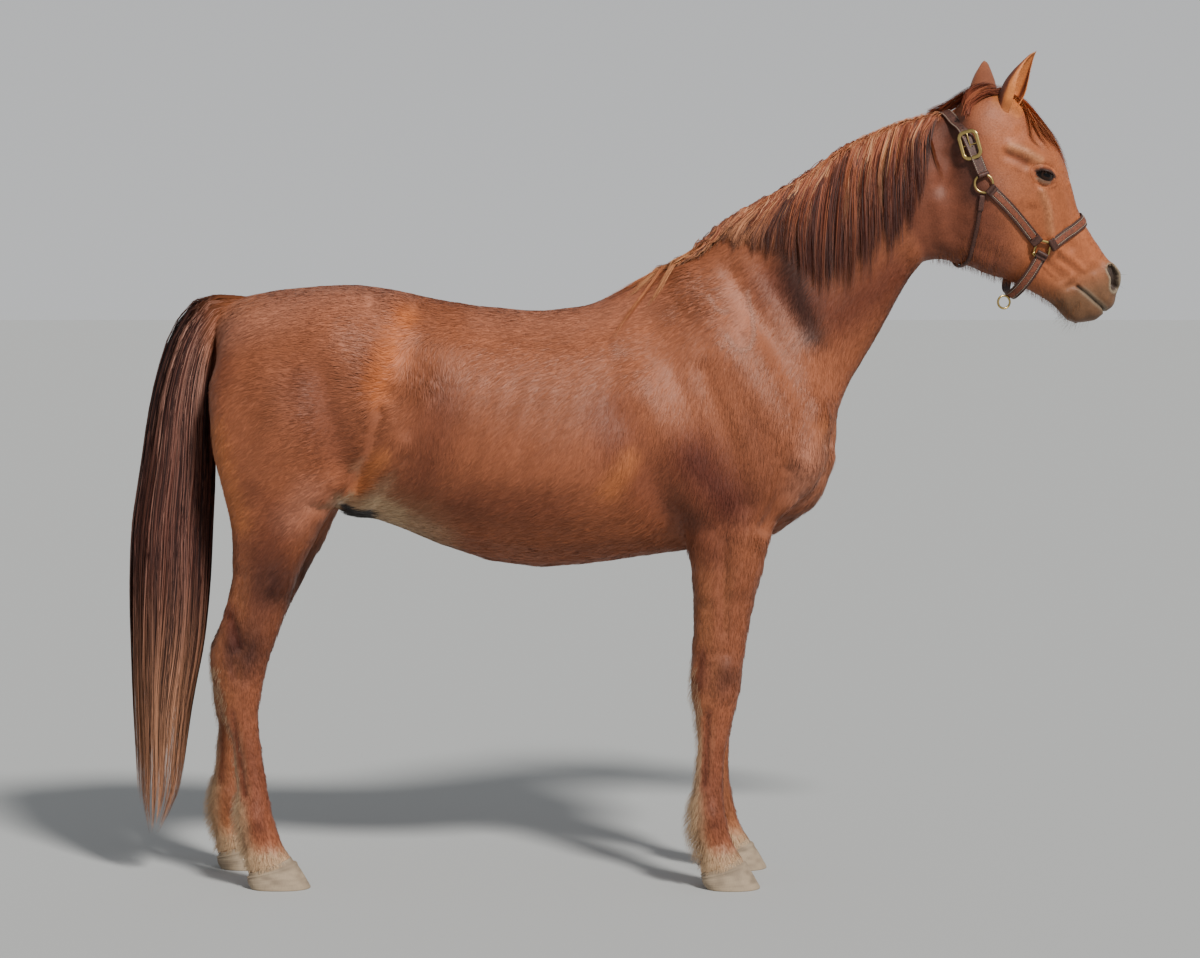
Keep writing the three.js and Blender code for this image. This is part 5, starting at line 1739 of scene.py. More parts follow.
def make_crest():
    """Short hair that stands along the crest and lies back."""
    random = np.random.default_rng(SEED + 26)
    total, steps = CREST_HAIRS, CREST_STEPS
    t = np.linspace(0, 1, steps)
    root_x = random.uniform(*CREST_ENDS, total)
    long = random.uniform(0.030, 0.085, total) * mix(1.0, 0.7, smooth(0.5, 0.8, root_x))
    back = random.uniform(0.15, 1.0, total)
    x = root_x[:, None] - (long * back)[:, None] * t
    fall = (long * (1 - back) * random.uniform(0.3, 1.2, total))[:, None] * t**1.6
    rise = random.uniform(0.001, 0.014, total)[:, None] * np.sin(t * 2.2)
    z = crest_z(x) - 0.003 + rise - fall
    aside = random.uniform(0.010, 0.040, (total, 1)) * np.where(random.random((total, 1)) < 0.75, -1, 0.6)
    y = random.uniform(*CREST_WIDTH, (total, 1)) + aside * t**1.3
    spines = np.stack([x + DATUM, y, z], axis=2)
    outwards = unit(np.zeros_like(spines) + np.array([-0.2, -0.6, 1.0]))
    streak = random.random(total)
    colour = blend(np.tile(MANE_COPPER, (total, 1)), MANE_BLOND, smooth(0.3, 1.0, streak) * 0.8)
    colours = np.repeat(colour[:, None], steps, axis=1)
    width = random.uniform(0.0009, 0.0016, total)
    strands("mane_crest", random, spines, outwards, width, colours)


# The tail's outline, from its root down: front and rear edges in (x, z), and half its width.
TAIL_STATIONS = np.array([
    (-0.812, 1.388, -0.800, 1.350, 0.020), (-0.870, 1.393, -0.835, 1.338, 0.032),
    (-0.908, 1.396, -0.853, 1.325, 0.038), (-0.962, 1.384, -0.874, 1.288, 0.042),
    (-1.010, 1.320, -0.892, 1.244, 0.046), (-1.044, 1.226, -0.904, 1.180, 0.052),
    (-1.070, 1.118, -0.908, 1.098, 0.057), (-1.093, 0.970, -0.908, 0.968, 0.060),
    (-1.113, 0.845, -0.914, 0.845, 0.062), (-1.120, 0.700, -0.922, 0.700, 0.060),
    (-1.118, 0.560, -0.938, 0.560, 0.055), (-1.114, 0.425, -0.965, 0.430, 0.046),
    (-1.108, 0.295, -0.985, 0.300, 0.036), (-1.101, 0.180, -1.005, 0.195, 0.024),
    (-1.078, 0.100, -1.054, 0.104, 0.009),
])
TAIL_ROOT = from_srgb(172, 100, 62)
TAIL_DARK = from_srgb(50, 31, 30)
TAIL_RED = from_srgb(104, 62, 52)
TAIL_PALE = from_srgb(172, 128, 112)
TAIL_TIP = from_srgb(208, 150, 114)


def tail_at(share):
    """Centre, half depth (x, z) and half width of the tail at shares of its length."""
    row = along_path(TAIL_STATIONS, share)
    rear, front = row[..., 0:2], row[..., 2:4]
    return (rear + front) / 2, (rear - front) / 2, row[..., 4]


TAIL_STEPS = 15


def make_tail(name, seed, count, per_lock, inner, tone):
    """One layer of the tail. Its roots keep outside the share `inner` of its section."""
    random = np.random.default_rng(seed)
    lock, place = locks(random, count, per_lock)
    total, steps = len(lock), TAIL_STEPS
    t = np.linspace(0, 1, steps)
    angle = random.uniform(0, 2 * math.pi, count)
    radius = np.sqrt(random.uniform(inner**2, 1, count))
    radius = np.clip(radius[lock] + random.normal(0, 0.03, total), 0, 1)
    start = random.uniform(0.0, 0.24, count)[lock] * random.uniform(0.7, 1.2, total)
    end = 1 - 0.50 * random.random(count)[lock] ** 1.3 - random.uniform(0, 0.05, total)
    share = start[:, None] + (end - start)[:, None] * t
    centre, half_depth, half_width = tail_at(np.clip(share, 0, 1))
    # each lock draws together towards its tip and waves a little
    wave = random.uniform(0, 2 * math.pi, count)[lock][:, None]
    sway = 0.10 * np.sin(share * 9 + wave) * t + random.normal(0, 0.03, (total, 1)) * t**2
    sway = sway + angle[lock][:, None] + place[:, None] * mix(0.16, 0.035, smooth(0.2, 0.9, t))
    u = radius[:, None] * np.cos(sway) * mix(0.80, 0.97, smooth(0, 0.3, t))
    v = radius[:, None] * np.sin(sway) * 0.97
    x = centre[..., 0] + u * half_depth[..., 0]
    z = centre[..., 1] + u * half_depth[..., 1]
    y = v * half_width
    spines = np.stack([x + DATUM, y, z], axis=2)
    outwards = unit(np.stack([-np.cos(sway), np.sin(sway), np.full((total, steps), 0.15)], axis=2))
    streak = random.random(count)[lock] * 0.4 + random.random(total) * 0.6
    colour = mix(TAIL_DARK * 0.7, TAIL_RED, smooth(0.38, 0.66, streak)[:, None])
    colours = np.repeat(colour[:, None], steps, axis=1)
    # pale strands, many more near the top, where the extra paleness is painted sheen
    pale = mix(0.95, 0.35, smooth(0.15, 0.45, share)) * smooth(0.60, 0.85, streak)[:, None]
    colours = mix(colours, TAIL_PALE, pale[..., None])
    # orange where it leaves the croup, most of all in front, and bleached towards the ends
    front = smooth(-0.2, 0.7, -np.cos(sway))
    colours = mix(colours, TAIL_ROOT, (0.85 * smooth(0.12 + 0.10 * front, 0.02, share))[..., None])
    ends = smooth(0.50, 0.92, share) * smooth(0.25, 0.60, streak)[:, None]
    colours = mix(colours, TAIL_TIP, (0.8 * ends)[..., None])
    width = random.uniform(0.0010, 0.0018, total)
    return strands(name, random, spines, outwards, width, colours * tone)


RAY_LENGTH = 0.3                   # rays towards the head start this far away


def on_forehead(down, out, lift):
    """A point over the front of the head, lifted off the skin."""
    start = from_head(down, out, -RAY_LENGTH)
    hit, normal, _, _ = SKIN_TREE.ray_cast(Vector(start), Vector(DEEP))
    return np.array(hit) + np.array(normal) * lift


def near_head(down, out, deep, lift):
    """The place of the skin nearest to a place of the head, lifted off the skin."""
    hit, normal, _, _ = SKIN_TREE.find_nearest(Vector(from_head(down, out, deep)))
    return np.array(hit) + np.array(normal) * lift


def lock_piece(name, seed, paths, per_lock, spread, hair_width, shades, steps=11):
    """Locks along given paths of points, each drawing together towards its tip.

    spread and hair_width are a lock's half width at its root and tip, and a hair's range.
    """
    random = np.random.default_rng(seed)
    t = np.linspace(0, 1, steps)
    spines, streaks, ups = [], [], []
    middle = POLL + DEEP * 0.12
    for path in paths:
        tone = random.random()
        for _ in range(per_lock):
            share = t * random.uniform(0.75, 1.0)
            line = along_path(path, share)
            width = mix(spread[0], spread[1], t)[:, None]
            aside, tip = random.normal(0, 1, 3), random.normal(0, 0.0012, 3)
            line = line + aside * width * 0.6 + tip * t[:, None] ** 2 * 3
            spines.append(line)
            ups.append(unit(line - middle))
            streaks.append(tone * 0.5 + random.random() * 0.5)
    spines, ups, streaks = np.array(spines), np.array(ups), np.array(streaks)
    dark, light = shades
    colour = blend(np.tile(dark, (len(spines), 1)), light, smooth(0.2, 0.9, streaks))
    colours = np.repeat(colour[:, None], steps, axis=1)
    width = random.uniform(*hair_width, len(spines))
    return strands(name, random, spines, ups, width, colours)


# The forelock's fan of locks, from the far side of the forehead to the near side: each row is a
# place down the face and how far out the fan reaches there, on the far and the near side.
FORELOCK_FAN = [(-0.010, -0.018, 0.019), (0.030, -0.028, 0.046), (0.075, -0.038, 0.071)]
FORELOCK_TIPS = (-0.046, 0.088)
FORELOCK_LENGTH, SHORTER_SIDES = 0.250, 0.100
FORELOCK_LIFTS = (0.004, 0.007, 0.006, 0.004, 0.002)
FORELOCK_LOCKS = 22
FORELOCK_LIGHT = from_srgb(222, 146, 94)


def forelock_path(share):
    """One lock of the forelock, from the far side at share 0 to the near side at 1."""
    tip = FORELOCK_LENGTH - SHORTER_SIDES * abs(2 * share - 1) ** 1.5
    places = [(down, mix(far, near, share)) for down, far, near in FORELOCK_FAN]
    last_down, *last_ends = FORELOCK_FAN[-1]
    half_way = mix(np.array(last_ends), FORELOCK_TIPS, 0.6)
    places.append((mix(last_down, tip, 0.5), mix(*half_way, share)))
    places.append((tip, mix(*FORELOCK_TIPS, share)))
    return [on_forehead(down, out, lift) for (down, out), lift in zip(places, FORELOCK_LIFTS)]


# Hair that lies forwards over the poll, as (down, out, deep, lift) places.
POLL_HAIR = [
    [(-0.085, 0.060, 0.130, 0.004), (-0.075, 0.055, 0.080, 0.010), (-0.055, 0.040, 0.030, 0.010),
     (-0.015, 0.022, -0.020, 0.006)],
    [(-0.065, 0.070, 0.130, 0.004), (-0.055, 0.060, 0.085, 0.009), (-0.035, 0.048, 0.035, 0.009),
     (0.005, 0.030, -0.020, 0.005)],
    [(-0.090, 0.040, 0.110, 0.004), (-0.085, 0.030, 0.060, 0.012), (-0.060, 0.015, 0.010, 0.012),
     (-0.020, 0.008, -0.030, 0.006)],
]


def make_forelock():
    paths = [forelock_path(share) for share in np.linspace(0, 1, FORELOCK_LOCKS)]
    piece = lock_piece("forelock_hair", SEED + 30, paths, 60, (0.0046, 0.0024), (0.0008, 0.0012),
                       (MANE_COPPER, FORELOCK_LIGHT))
    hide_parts("forelock")
    paths = [
        [near_head(down, out * side, deep, lift) for down, out, deep, lift in path]
        for path in POLL_HAIR for side in (1, -1)
    ]
    lock_piece("poll_hair", SEED + 31, paths, 130, (0.0080, 0.0040), (0.0008, 0.0013),
               (MANE_RED, MANE_COPPER))


SIDE_PATH_STEPS = 14


def side_path(places, lift):
    """A path over the right side of the body through side-view places."""
    path = []
    for x, z in along_path(places, np.linspace(0, 1, SIDE_PATH_STEPS)):
        hit, normal, _, _ = SKIN_TREE.ray_cast(Vector((x + DATUM, -1.0, z)), Vector((0, 1, 0)))
        if hit is None:
            hit, normal, _, _ = SKIN_TREE.find_nearest(Vector((x + DATUM, -0.04, z)))
        path.append(np.array(hit) + np.array(normal) * lift)
    return path


# Single locks on the neck and withers, as side-view places.
LONE_LOCK = [(0.765, 1.812), (0.768, 1.780), (0.775, 1.740), (0.788, 1.690), (0.806, 1.645)]
WITHERS_LOCKS = [
    [(0.245, 1.528), (0.205, 1.506), (0.154, 1.470), (0.093, 1.428), (0.040, 1.398), (0.000, 1.379)],
    [(0.245, 1.526), (0.205, 1.502), (0.168, 1.464), (0.117, 1.400), (0.058, 1.325), (0.026, 1.276)],
    [(0.244, 1.524), (0.200, 1.496), (0.150, 1.452), (0.100, 1.405), (0.060, 1.372)],
    [(0.240, 1.520), (0.205, 1.494), (0.172, 1.446), (0.140, 1.395), (0.110, 1.350)],
    [(0.240, 1.520), (0.190, 1.494), (0.130, 1.456), (0.080, 1.432)],
]


def make_long_hair():
    # the under layer is coloured darker than the hair over it: painted shade under the mane
    under = (MANE_DARK * 0.6, MANE_DARK * 0.8, MANE_RED * 0.8)
    make_mane_layer("mane_under", SEED + 20, 190, 19, 0.010, under,
                    length=0.86, widths=(0.014, 0.006), hair_width=(0.0012, 0.0020))
    piece = make_mane_layer("mane_over", SEED + 21, 170, 40, 0.024, (MANE_DARK, MANE_RED, MANE_COPPER))
    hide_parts("mane")
    make_mane_layer("mane_short", SEED + 22, 90, 26, 0.030, (MANE_RED, MANE_COPPER, MANE_BLOND * 0.85),
                    length=0.62, widths=(0.007, 0.0015))
    make_crest()
    lock_piece("lone_lock", SEED + 27, [side_path(LONE_LOCK, 0.006)], 60, (0.0034, 0.0010), (0.0007, 0.0011),
               (MANE_COPPER, MANE_BLOND))
    lock_piece("withers_locks", SEED + 29, [side_path(path, 0.009) for path in WITHERS_LOCKS], 80,
               (0.0060, 0.0014), (0.0008, 0.0013), (MANE_COPPER, MANE_BLOND), 16)
    make_tail("tail_inner", SEED + 23, 120, 14, 0.2, 0.7)
    outer = make_tail("tail_outer", SEED + 24, 240, 22, 0.82, 1.0)
    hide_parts("tail_hair_upper", "tail_hair_lower")
    make_forelock()


make_long_hair()


# ---------------------------------------------------------------- solid pieces
def solid_piece(name, parts, material, slot, *replaced):
    """One piece made of several closed surfaces, each given as (points, faces)."""
    work = bmesh.new()
    for points, faces in parts:
        add_part(work, points, faces)
    mesh = bpy.data.meshes.new(name)
    work.to_mesh(mesh)
    work.free()
    shade_smoothly(mesh)
    mesh.materials.append(material)
    piece = add_object(name, mesh)
    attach(piece, "root")
    if replaced:
        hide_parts(*replaced)
    return piece


def closed_sweep(rings):
    """A sweep whose two ends are closed by points in their middles."""
    rings = np.asarray(rings, float)
    first, last = rings[0].mean(axis=0), rings[-1].mean(axis=0)
    start = np.broadcast_to(first, rings[0].shape)
    end = np.broadcast_to(last, rings[-1].shape)
    return sweep(np.concatenate([[mix(rings[0], start, 0.999)], rings, [mix(rings[-1], end, 0.999)]]))


def tube(path, radius, sides=12, closed_path=False, squash=1.0, flat_way=None):
    """A round bar along a path. `squash` flattens it along `flat_way`."""
    path = np.asarray(path, float)
    if closed_path:
        tangents = unit(np.roll(path, -1, axis=0) - np.roll(path, 1, axis=0))
    else:
        tangents = tangents_of(path)
    guide = np.array([0.31, 0.27, 0.91]) if flat_way is None else np.asarray(flat_way, float)
    up = unit(guide - tangents * (tangents @ guide)[:, None] if guide.ndim == 1
              else guide - tangents * (tangents * guide).sum(1, keepdims=True))
    aside = np.cross(tangents, up)
    radius = np.broadcast_to(radius, len(path))[:, None]
    angles = np.linspace(0, 2 * math.pi, sides, endpoint=False)
    rings = (path[:, None] + aside[:, None] * (radius * np.cos(angles))[..., None]
             + up[:, None] * (squash * radius * np.sin(angles))[..., None])
    return sweep(rings, True) if closed_path else closed_sweep(rings)


# ---------------------------------------------------------------- eyeballs
PUPIL = (0.0085, 0.0042)           # half its length and height
IRIS = (0.0115, 0.0150)            # where it begins to darken, and its radius
CORNEA = {"rise": 0.0012, "radius": 0.012}
EYE_RINGS, EYE_SIDES = 56, 72
IRIS_BROWN = from_srgb(44, 26, 18)
EYE_RIM = from_srgb(20, 13, 11)
PUPIL_BLACK = from_srgb(5, 5, 8)


def eye_material():
    material, tree, shader = new_material("eye")
    rays = noise_node(tree, 1400, 3.0, object_vector(tree))
    painted(tree, shader, rays.outputs["Fac"], 0.5)
    finish(shader, roughness=0.16, specular_ior_level=0.10, coat_weight=0.20, coat_roughness=0.03)
    return material


def make_eye(side, material):
    along, across, outwards = eye_frame(side)
    angles = np.linspace(0, 2 * math.pi, EYE_SIDES, endpoint=False)
    rings = []
    for polar in np.linspace(0.002, math.pi - 0.01, EYE_RINGS):
        radius = EYE_RADIUS * math.sin(polar)
        bulge = CORNEA["rise"] * math.exp(-((radius / CORNEA["radius"]) ** 2)) * (polar < 1)
        rings.append(EYES[side] + outwards * (EYE_RADIUS * math.cos(polar) + bulge)
                     + along * radius * np.cos(angles)[:, None] + across * radius * np.sin(angles)[:, None])
    piece = solid_piece(f"eyeball_{side}", [sweep(rings)], material, "eye", f"eye_{side}")
    points = points_of(piece.data)
    p, q, _ = eye_place(points, side)
    colours = np.tile(IRIS_BROWN, (len(points), 1))
    colours = blend(colours, EYE_RIM, smooth(*IRIS, np.hypot(p, q)))
    in_pupil = smooth(1.25, 0.95, np.hypot(p / PUPIL[0], q / PUPIL[1]))
    colours = blend(colours, PUPIL_BLACK, in_pupil)
    paint(piece.data, colours)


# ---------------------------------------------------------------- hooves
HOOF_LEVELS = {
    # front x and z, rear x and z, half width: at the coronet, half way down and at the sole
    "fore": [(0.341, 0.0606, 0.236, 0.0276, 0.047), (0.359, 0.032, 0.238, 0.015, 0.055),
             (0.377, 0.0, 0.248, 0.0, 0.061)],
    "hind": [(-0.715, 0.0606, -0.829, 0.0276, 0.046), (-0.697, 0.032, -0.828, 0.015, 0.052),
             (-0.679, 0.0, -0.820, 0.0, 0.057)],
}
HOOF_CENTRE = 0.134                # how far each hoof's middle is from the horse's
HOOF_SIDES, HOOF_RINGS = 96, 34
TOE_POWER, HEEL_POWER = 2.2, 2.6   # 2 for an ellipse, more for a squarer section
HOOF_TOPS = (-0.22, -0.12, -0.05)  # the rings above the coronet, as shares of the hoof's height
HEEL_NOTCH = {"depth": 0.008, "width": 0.012}
CORONET_BAND = {"swell": 0.0018, "at": 0.06, "width": 0.06}
HORN_PALE = from_srgb(158, 140, 118)
HORN_GREY = from_srgb(132, 116, 98)
HORN_DARK = from_srgb(108, 94, 80)


def hoof_ring(front, rear, half, grow):
    """A closed section, round in front and broader behind, through two side-view points."""
    front, rear = np.array(front), np.array(rear)
    reach = np.linalg.norm(front - rear) / 2
    way = (front - rear) / (2 * reach)
    middle = (front + rear) / 2
    angles = np.linspace(0, 2 * math.pi, HOOF_SIDES, endpoint=False)
    power = np.where(np.cos(angles) > 0, 2 / TOE_POWER, 2 / HEEL_POWER)
    forward = np.sign(np.cos(angles)) * np.abs(np.cos(angles)) ** power * (reach + grow)
    aside = np.sign(np.sin(angles)) * np.abs(np.sin(angles)) ** power * (half + grow)
    # the heels part behind, with a notch between them
    notch = HEEL_NOTCH["depth"] * np.exp(-((aside / HEEL_NOTCH["width"]) ** 2)) * (forward < 0)
    forward = forward + notch
    return np.stack([middle[0] + way[0] * forward, aside, middle[1] + way[1] * forward], axis=1)


def make_hoof(leg, material):
    """A hoof of horn, with growth rings, a band at the coronet and a worn lower edge."""
    levels = np.array(HOOF_LEVELS[leg[:4]])
    left = leg.endswith("left")
    setting = FORE_STAGGER if leg.startswith("fore") else HIND_STAGGER
    rings = []
    for share in HOOF_TOPS:
        row = levels[0] + (levels[1] - levels[0]) * share * 2
        rings.append(hoof_ring(row[:2], row[2:4], row[4], -0.0035 + 0.012 * share * (share > -0.1)))
    for share in np.linspace(0, 1, HOOF_RINGS):
        row = along_path(levels, share)
        growth = 0.00014 * math.sin(share * 46) + 0.00010 * math.sin(share * 21 + 1)
        from_band = (share - CORONET_BAND["at"]) / CORONET_BAND["width"]
        band = CORONET_BAND["swell"] * math.exp(-(from_band**2))
        worn = -0.0015 * max(share - 0.965, 0) / 0.035
        rings.append(hoof_ring(row[:2], row[2:4], row[4], growth + band + worn))
    rings = np.array(rings)
    rings[:, :, 1] += HOOF_CENTRE * (1 if left else -1)
    shift = stagger(np.zeros(1), **setting)[0] if left else 0
    rings[:, :, 0] += DATUM + shift
    piece = solid_piece(f"{leg}_hoof_horn", [closed_sweep(rings)], material, "hoof_horn", f"{leg}_hoof")
    points = points_of(piece.data)
    height = smooth(0.055, 0.0, points[:, 2])
    patch = noise(points, (0.02, 0.02, 0.010))
    colours = blend(np.tile(HORN_PALE, (len(points), 1)), HORN_GREY, smooth(0.20, 0.90, patch))
    colours = blend(colours, HORN_DARK, 0.25 * smooth(0.45, 0.9, noise(points + 3, (0.03, 0.03, 0.006))))
    colours = blend(colours, HORN_PALE, 0.5 * smooth(0.8, 1.0, height))
    paint(piece.data, colours)


def horn_material():
    material, tree, shader = new_material("hoof_horn")
    streaks = noise_node(tree, 1.0, 4.0, object_vector(tree, (420, 420, 60)))
    painted(tree, shader, streaks.outputs["Fac"], 0.16)
    finish(shader, roughness=0.72, specular_ior_level=0.3)
    bump(tree, streaks.outputs["Fac"], shader, 0.4, 0.0006)
    return material


# ---------------------------------------------------------------- the halter's materials
STRAP_WIDTH = 0.027
STRAP_THICKNESS = 0.0034
STRAP_LIFT = 0.0050                 # from the skin to the middle of the leather
STRAP_SIDES = 28
STRAP_POWERS = (0.22, 0.55)         # how square a strap's section is, across it and through it
LEATHER_BROWN = from_srgb(84, 52, 42)
LEATHER_DARK = from_srgb(48, 31, 28)
LEATHER_RED = from_srgb(142, 78, 54)
LEATHER_GREY = from_srgb(96, 62, 52)
THREAD = from_srgb(206, 190, 168)
BRASS = from_srgb(190, 164, 102)


def leather_material(name, colour, edge):
    material, tree, shader = new_material(name)
    grain = noise_node(tree, 260, 5.0, object_vector(tree))
    pores = add_node(tree, "ShaderNodeTexVoronoi", Scale=900)
    tree.links.new(object_vector(tree), pores.inputs["Vector"])
    between_colours(tree, shader, grain.outputs["Fac"], edge, colour, 0.30, 0.72)
    finish(shader, roughness=0.50, specular_ior_level=0.28)
    bump(tree, pores.outputs["Distance"], shader, 0.35, 0.0004)
    return material


def metal_material():
    material, tree, shader = new_material("halter_brass")
    wear = noise_node(tree, 190, 4.0, object_vector(tree))
    between_colours(tree, shader, wear.outputs["Fac"], BRASS * 0.55, BRASS, 0.0, 0.6)
    finish(shader, metallic=1.0, roughness=0.28)
    bump(tree, wear.outputs["Fac"], shader, 0.15, 0.0004)
    return material


def hole_material():
    """The dark inside of the holes punched in the crown strap, as painted shade."""
    material, tree, shader = new_material("strap_holes")
    hole_mottle = noise_node(tree, 800, 2.0, object_vector(tree))
    between_colours(tree, shader, hole_mottle.outputs["Fac"], LEATHER_DARK * 0.2, LEATHER_DARK * 0.5)
    finish(shader, roughness=0.9)
    return material


def thread_material():
    material, tree, shader = new_material("halter_thread")
    twist = add_node(tree, "ShaderNodeTexWave", Scale=700)
    tree.links.new(object_vector(tree), twist.inputs["Vector"])
    between_colours(tree, shader, twist.outputs["Fac"], THREAD * 0.6, THREAD)
    finish(shader, roughness=0.8)
    return material


# ---------------------------------------------------------------- the halter's routes and pieces
def seat(down, deep, side, spread=0.010):
    """The skin's point under a side-view place of the head, and the way that it faces."""
    hits = []
    for a, b in ((0, 0), (spread, 0), (-spread, 0), (0, spread), (0, -spread)):
        start = from_head(down + a, RAY_LENGTH * side, deep + b)
        hits.append(np.array(SKIN_TREE.ray_cast(Vector(start), Vector(-OUT * side))[0]))
    normal = unit(np.cross(hits[1] - hits[2], hits[3] - hits[4]))
    return hits[0], normal * np.sign(normal @ (OUT * side))


def even(path, spacing):
    """The same path with even steps of about a given length."""
    path = np.asarray(path, float)
    steps = np.linalg.norm(np.diff(path, axis=0), axis=1)
    at = np.concatenate([[0], np.cumsum(steps)])
    count = max(int(at[-1] / spacing), 3) + 1
    wanted = np.linspace(0, at[-1], count)
    return np.stack([np.interp(wanted, at, path[:, axis]) for axis in range(3)], axis=1)


def softened(rows, rounds):
    """Irons bumps out of a path, keeping its ends."""
    rows = np.array(rows, float)
    for _ in range(rounds):
        rows[1:-1] = rows[1:-1] * 0.5 + (rows[:-2] + rows[2:]) * 0.25
    return rows


CHEEK_STEPS, CHIN_STEPS = 26, 60
CHIN_MIDDLE = (0.36, 0.10)         # the (down, deep) place that the chin strap faces away from


def route_across(start, end, side, lift):
    """A path on one side of the head between two side-view places, and its facing."""
    shares = np.linspace(0, 1, CHEEK_STEPS)
    places = [mix(np.array(start), np.array(end), share) for share in shares]
    seats = [seat(down, deep, side) for down, deep in places]
    ups = unit(softened([normal for _, normal in seats], 6))
    return softened([point for point, _ in seats], 6) + ups * lift, ups


# Routes round the head, as (down, deep) in its frame: their middle, the way to the front of the
# loop, how far round they run on either side (degrees), and in how many steps.
CROWN_ROUTE = {"centre": (0.017, 0.1345), "way": (-0.226, -0.055), "ends": 160, "steps": 100}
NOSE_ROUTE = {"centre": (0.3515, 0.017), "way": (0.005, -0.174), "ends": 150, "steps": 90}
THROAT_ROUTE = {"centre": (0.225, 0.239), "way": (0.170, 0.126), "ends": 158, "steps": 90}


def front_of(route):
    """The direction to the front of a route's loop."""
    down, deep = unit(route["way"])
    return head_way((down, 0, deep))


def route_round(route, lift):
    """A path round the head in the plane of `out` and the route's own way, and its facing."""
    middle = from_head(route["centre"][0], 0, route["centre"][1])
    ahead = front_of(route)
    points = []
    for angle in np.radians(np.linspace(route["ends"], -route["ends"], route["steps"])):
        ray = ahead * math.cos(angle) + OUT * math.sin(angle)
        hit = SKIN_TREE.ray_cast(Vector(middle + ray * 0.4), Vector(-ray))[0]
        points.append(np.array(hit))
    points = softened(points, 5)
    across = np.cross(ahead, OUT)
    ups = unit(np.cross(across, tangents_of(points)))
    ups *= np.sign((ups * (points - middle)).sum(1, keepdims=True))
    return points + ups * lift, ups


def strap(path, ups, width=STRAP_WIDTH, thickness=STRAP_THICKNESS, tip=0.0):
    """A band of leather with rounded edges along a path, its outer face towards `ups`.

    tip is the length of a rounded end, or nothing.
    """
    tangents = tangents_of(path)
    ups = unit(ups - tangents * (ups * tangents).sum(1, keepdims=True))
    across = np.cross(tangents, ups)
    angles = np.linspace(0, 2 * math.pi, STRAP_SIDES, endpoint=False)
    across_power, up_power = STRAP_POWERS
    u = np.sign(np.cos(angles)) * np.abs(np.cos(angles)) ** across_power * width / 2
    v = np.sign(np.sin(angles)) * np.abs(np.sin(angles)) ** up_power * thickness / 2
    steps = np.linalg.norm(np.diff(path, axis=0), axis=1)
    left = np.concatenate([np.cumsum(steps[::-1])[::-1], [0]])
    full = np.sqrt(np.clip(1 - (1 - left / tip) ** 2, 0.02, 1)) if tip else np.ones(len(path))
    full = np.where(left > tip, 1, full)
    sides = across[:, None] * (u[None] * full[:, None])[..., None]
    return closed_sweep(path[:, None] + sides + ups[:, None] * v[None, :, None])


def resampled(path, ups, spacing):
    """A path in even steps, with its facings to match."""
    dense = even(path, spacing)
    share, old = np.linspace(0, 1, len(dense)), np.linspace(0, 1, len(ups))
    return dense, np.stack([np.interp(share, old, ups[:, k]) for k in range(3)], axis=1)


STITCH_LENGTH, STITCH_PITCH, STITCH_RADIUS = 0.0036, 0.0050, 0.00055
STITCH_SPACING, STITCH_SAG = 0.0012, 0.0004


def stitches(path, ups, offset):
    """One row of stitches along a strap, at an offset from its middle line."""
    dense, facing = resampled(path, ups, STITCH_SPACING)
    tangents = tangents_of(dense)
    across = unit(np.cross(tangents, facing))
    row = dense + across * offset + facing * (STRAP_THICKNESS / 2 + 0.0001)
    step = max(int(STITCH_PITCH / STITCH_SPACING), 2)
    parts = []
    for i in range(step, len(row) - step, step):
        t = tangents[i] * STITCH_LENGTH / 2
        sag = -facing[i] * STITCH_SAG
        line = [row[i] - t + sag, row[i] - t * 0.6, row[i] + t * 0.6, row[i] + t + sag]
        parts.append(tube(line, STITCH_RADIUS * np.array([0.7, 1, 1, 0.7]), sides=6))
    return parts


LOOP_BACK, LOOP_LIFT = 0.012, 0.0042   # how far a looped end runs back, and how high it lies


def looped(path, ups, wire):
    """Continues a strap's path round a ring's wire and back over itself."""
    way = unit(path[-1] - path[-3])
    up = unit(ups[-1] - way * (ups[-1] @ way))
    radius = wire + STRAP_THICKNESS / 2 + 0.0003
    centre = path[-1] + up * radius
    angles = np.linspace(0.25, math.pi, 12)
    turn = [centre + radius * (way * math.sin(a) - up * math.cos(a)) for a in angles]
    home = [turn[-1] - way * LOOP_BACK * s - up * (2 * radius - LOOP_LIFT) * smooth(0.0, 0.5, s)
            for s in np.linspace(0.12, 1, 9)]
    turn_ups = [way * -math.sin(a) + up * math.cos(a) for a in angles]
    return np.concatenate([path, turn, home]), np.concatenate([ups, turn_ups, [-up] * len(home)])


def in_plane(normal, ahead):
    """Two directions square to a normal: the nearest one to `ahead`, and aside."""
    ahead = unit(ahead - normal * (ahead @ normal))
    return ahead, np.cross(normal, ahead)


RING_SIDES = 72


def ring_path(centre, normal, radius_at):
    """A closed path round a centre, whose radius at each angle is given by a function."""
    ahead, aside = in_plane(normal, DOWN)
    angles = np.linspace(0, 2 * math.pi, RING_SIDES, endpoint=False)
    radius = radius_at(angles)
    x, y = radius * np.cos(angles), radius * np.sin(angles)
    return centre + ahead * x[:, None] + aside * y[:, None]


def circle(radius):
    return lambda angles: np.full(len(angles), radius)


def square(reach):
    """A square with its corners cut, which stand down, up and to the sides."""
    def radius_at(angles):
        quarter = (angles % (math.pi / 2)) - math.pi / 4
        flat = reach * math.cos(math.pi / 4) / np.cos(quarter)
        return np.minimum(flat, reach * 0.93)
    return radius_at


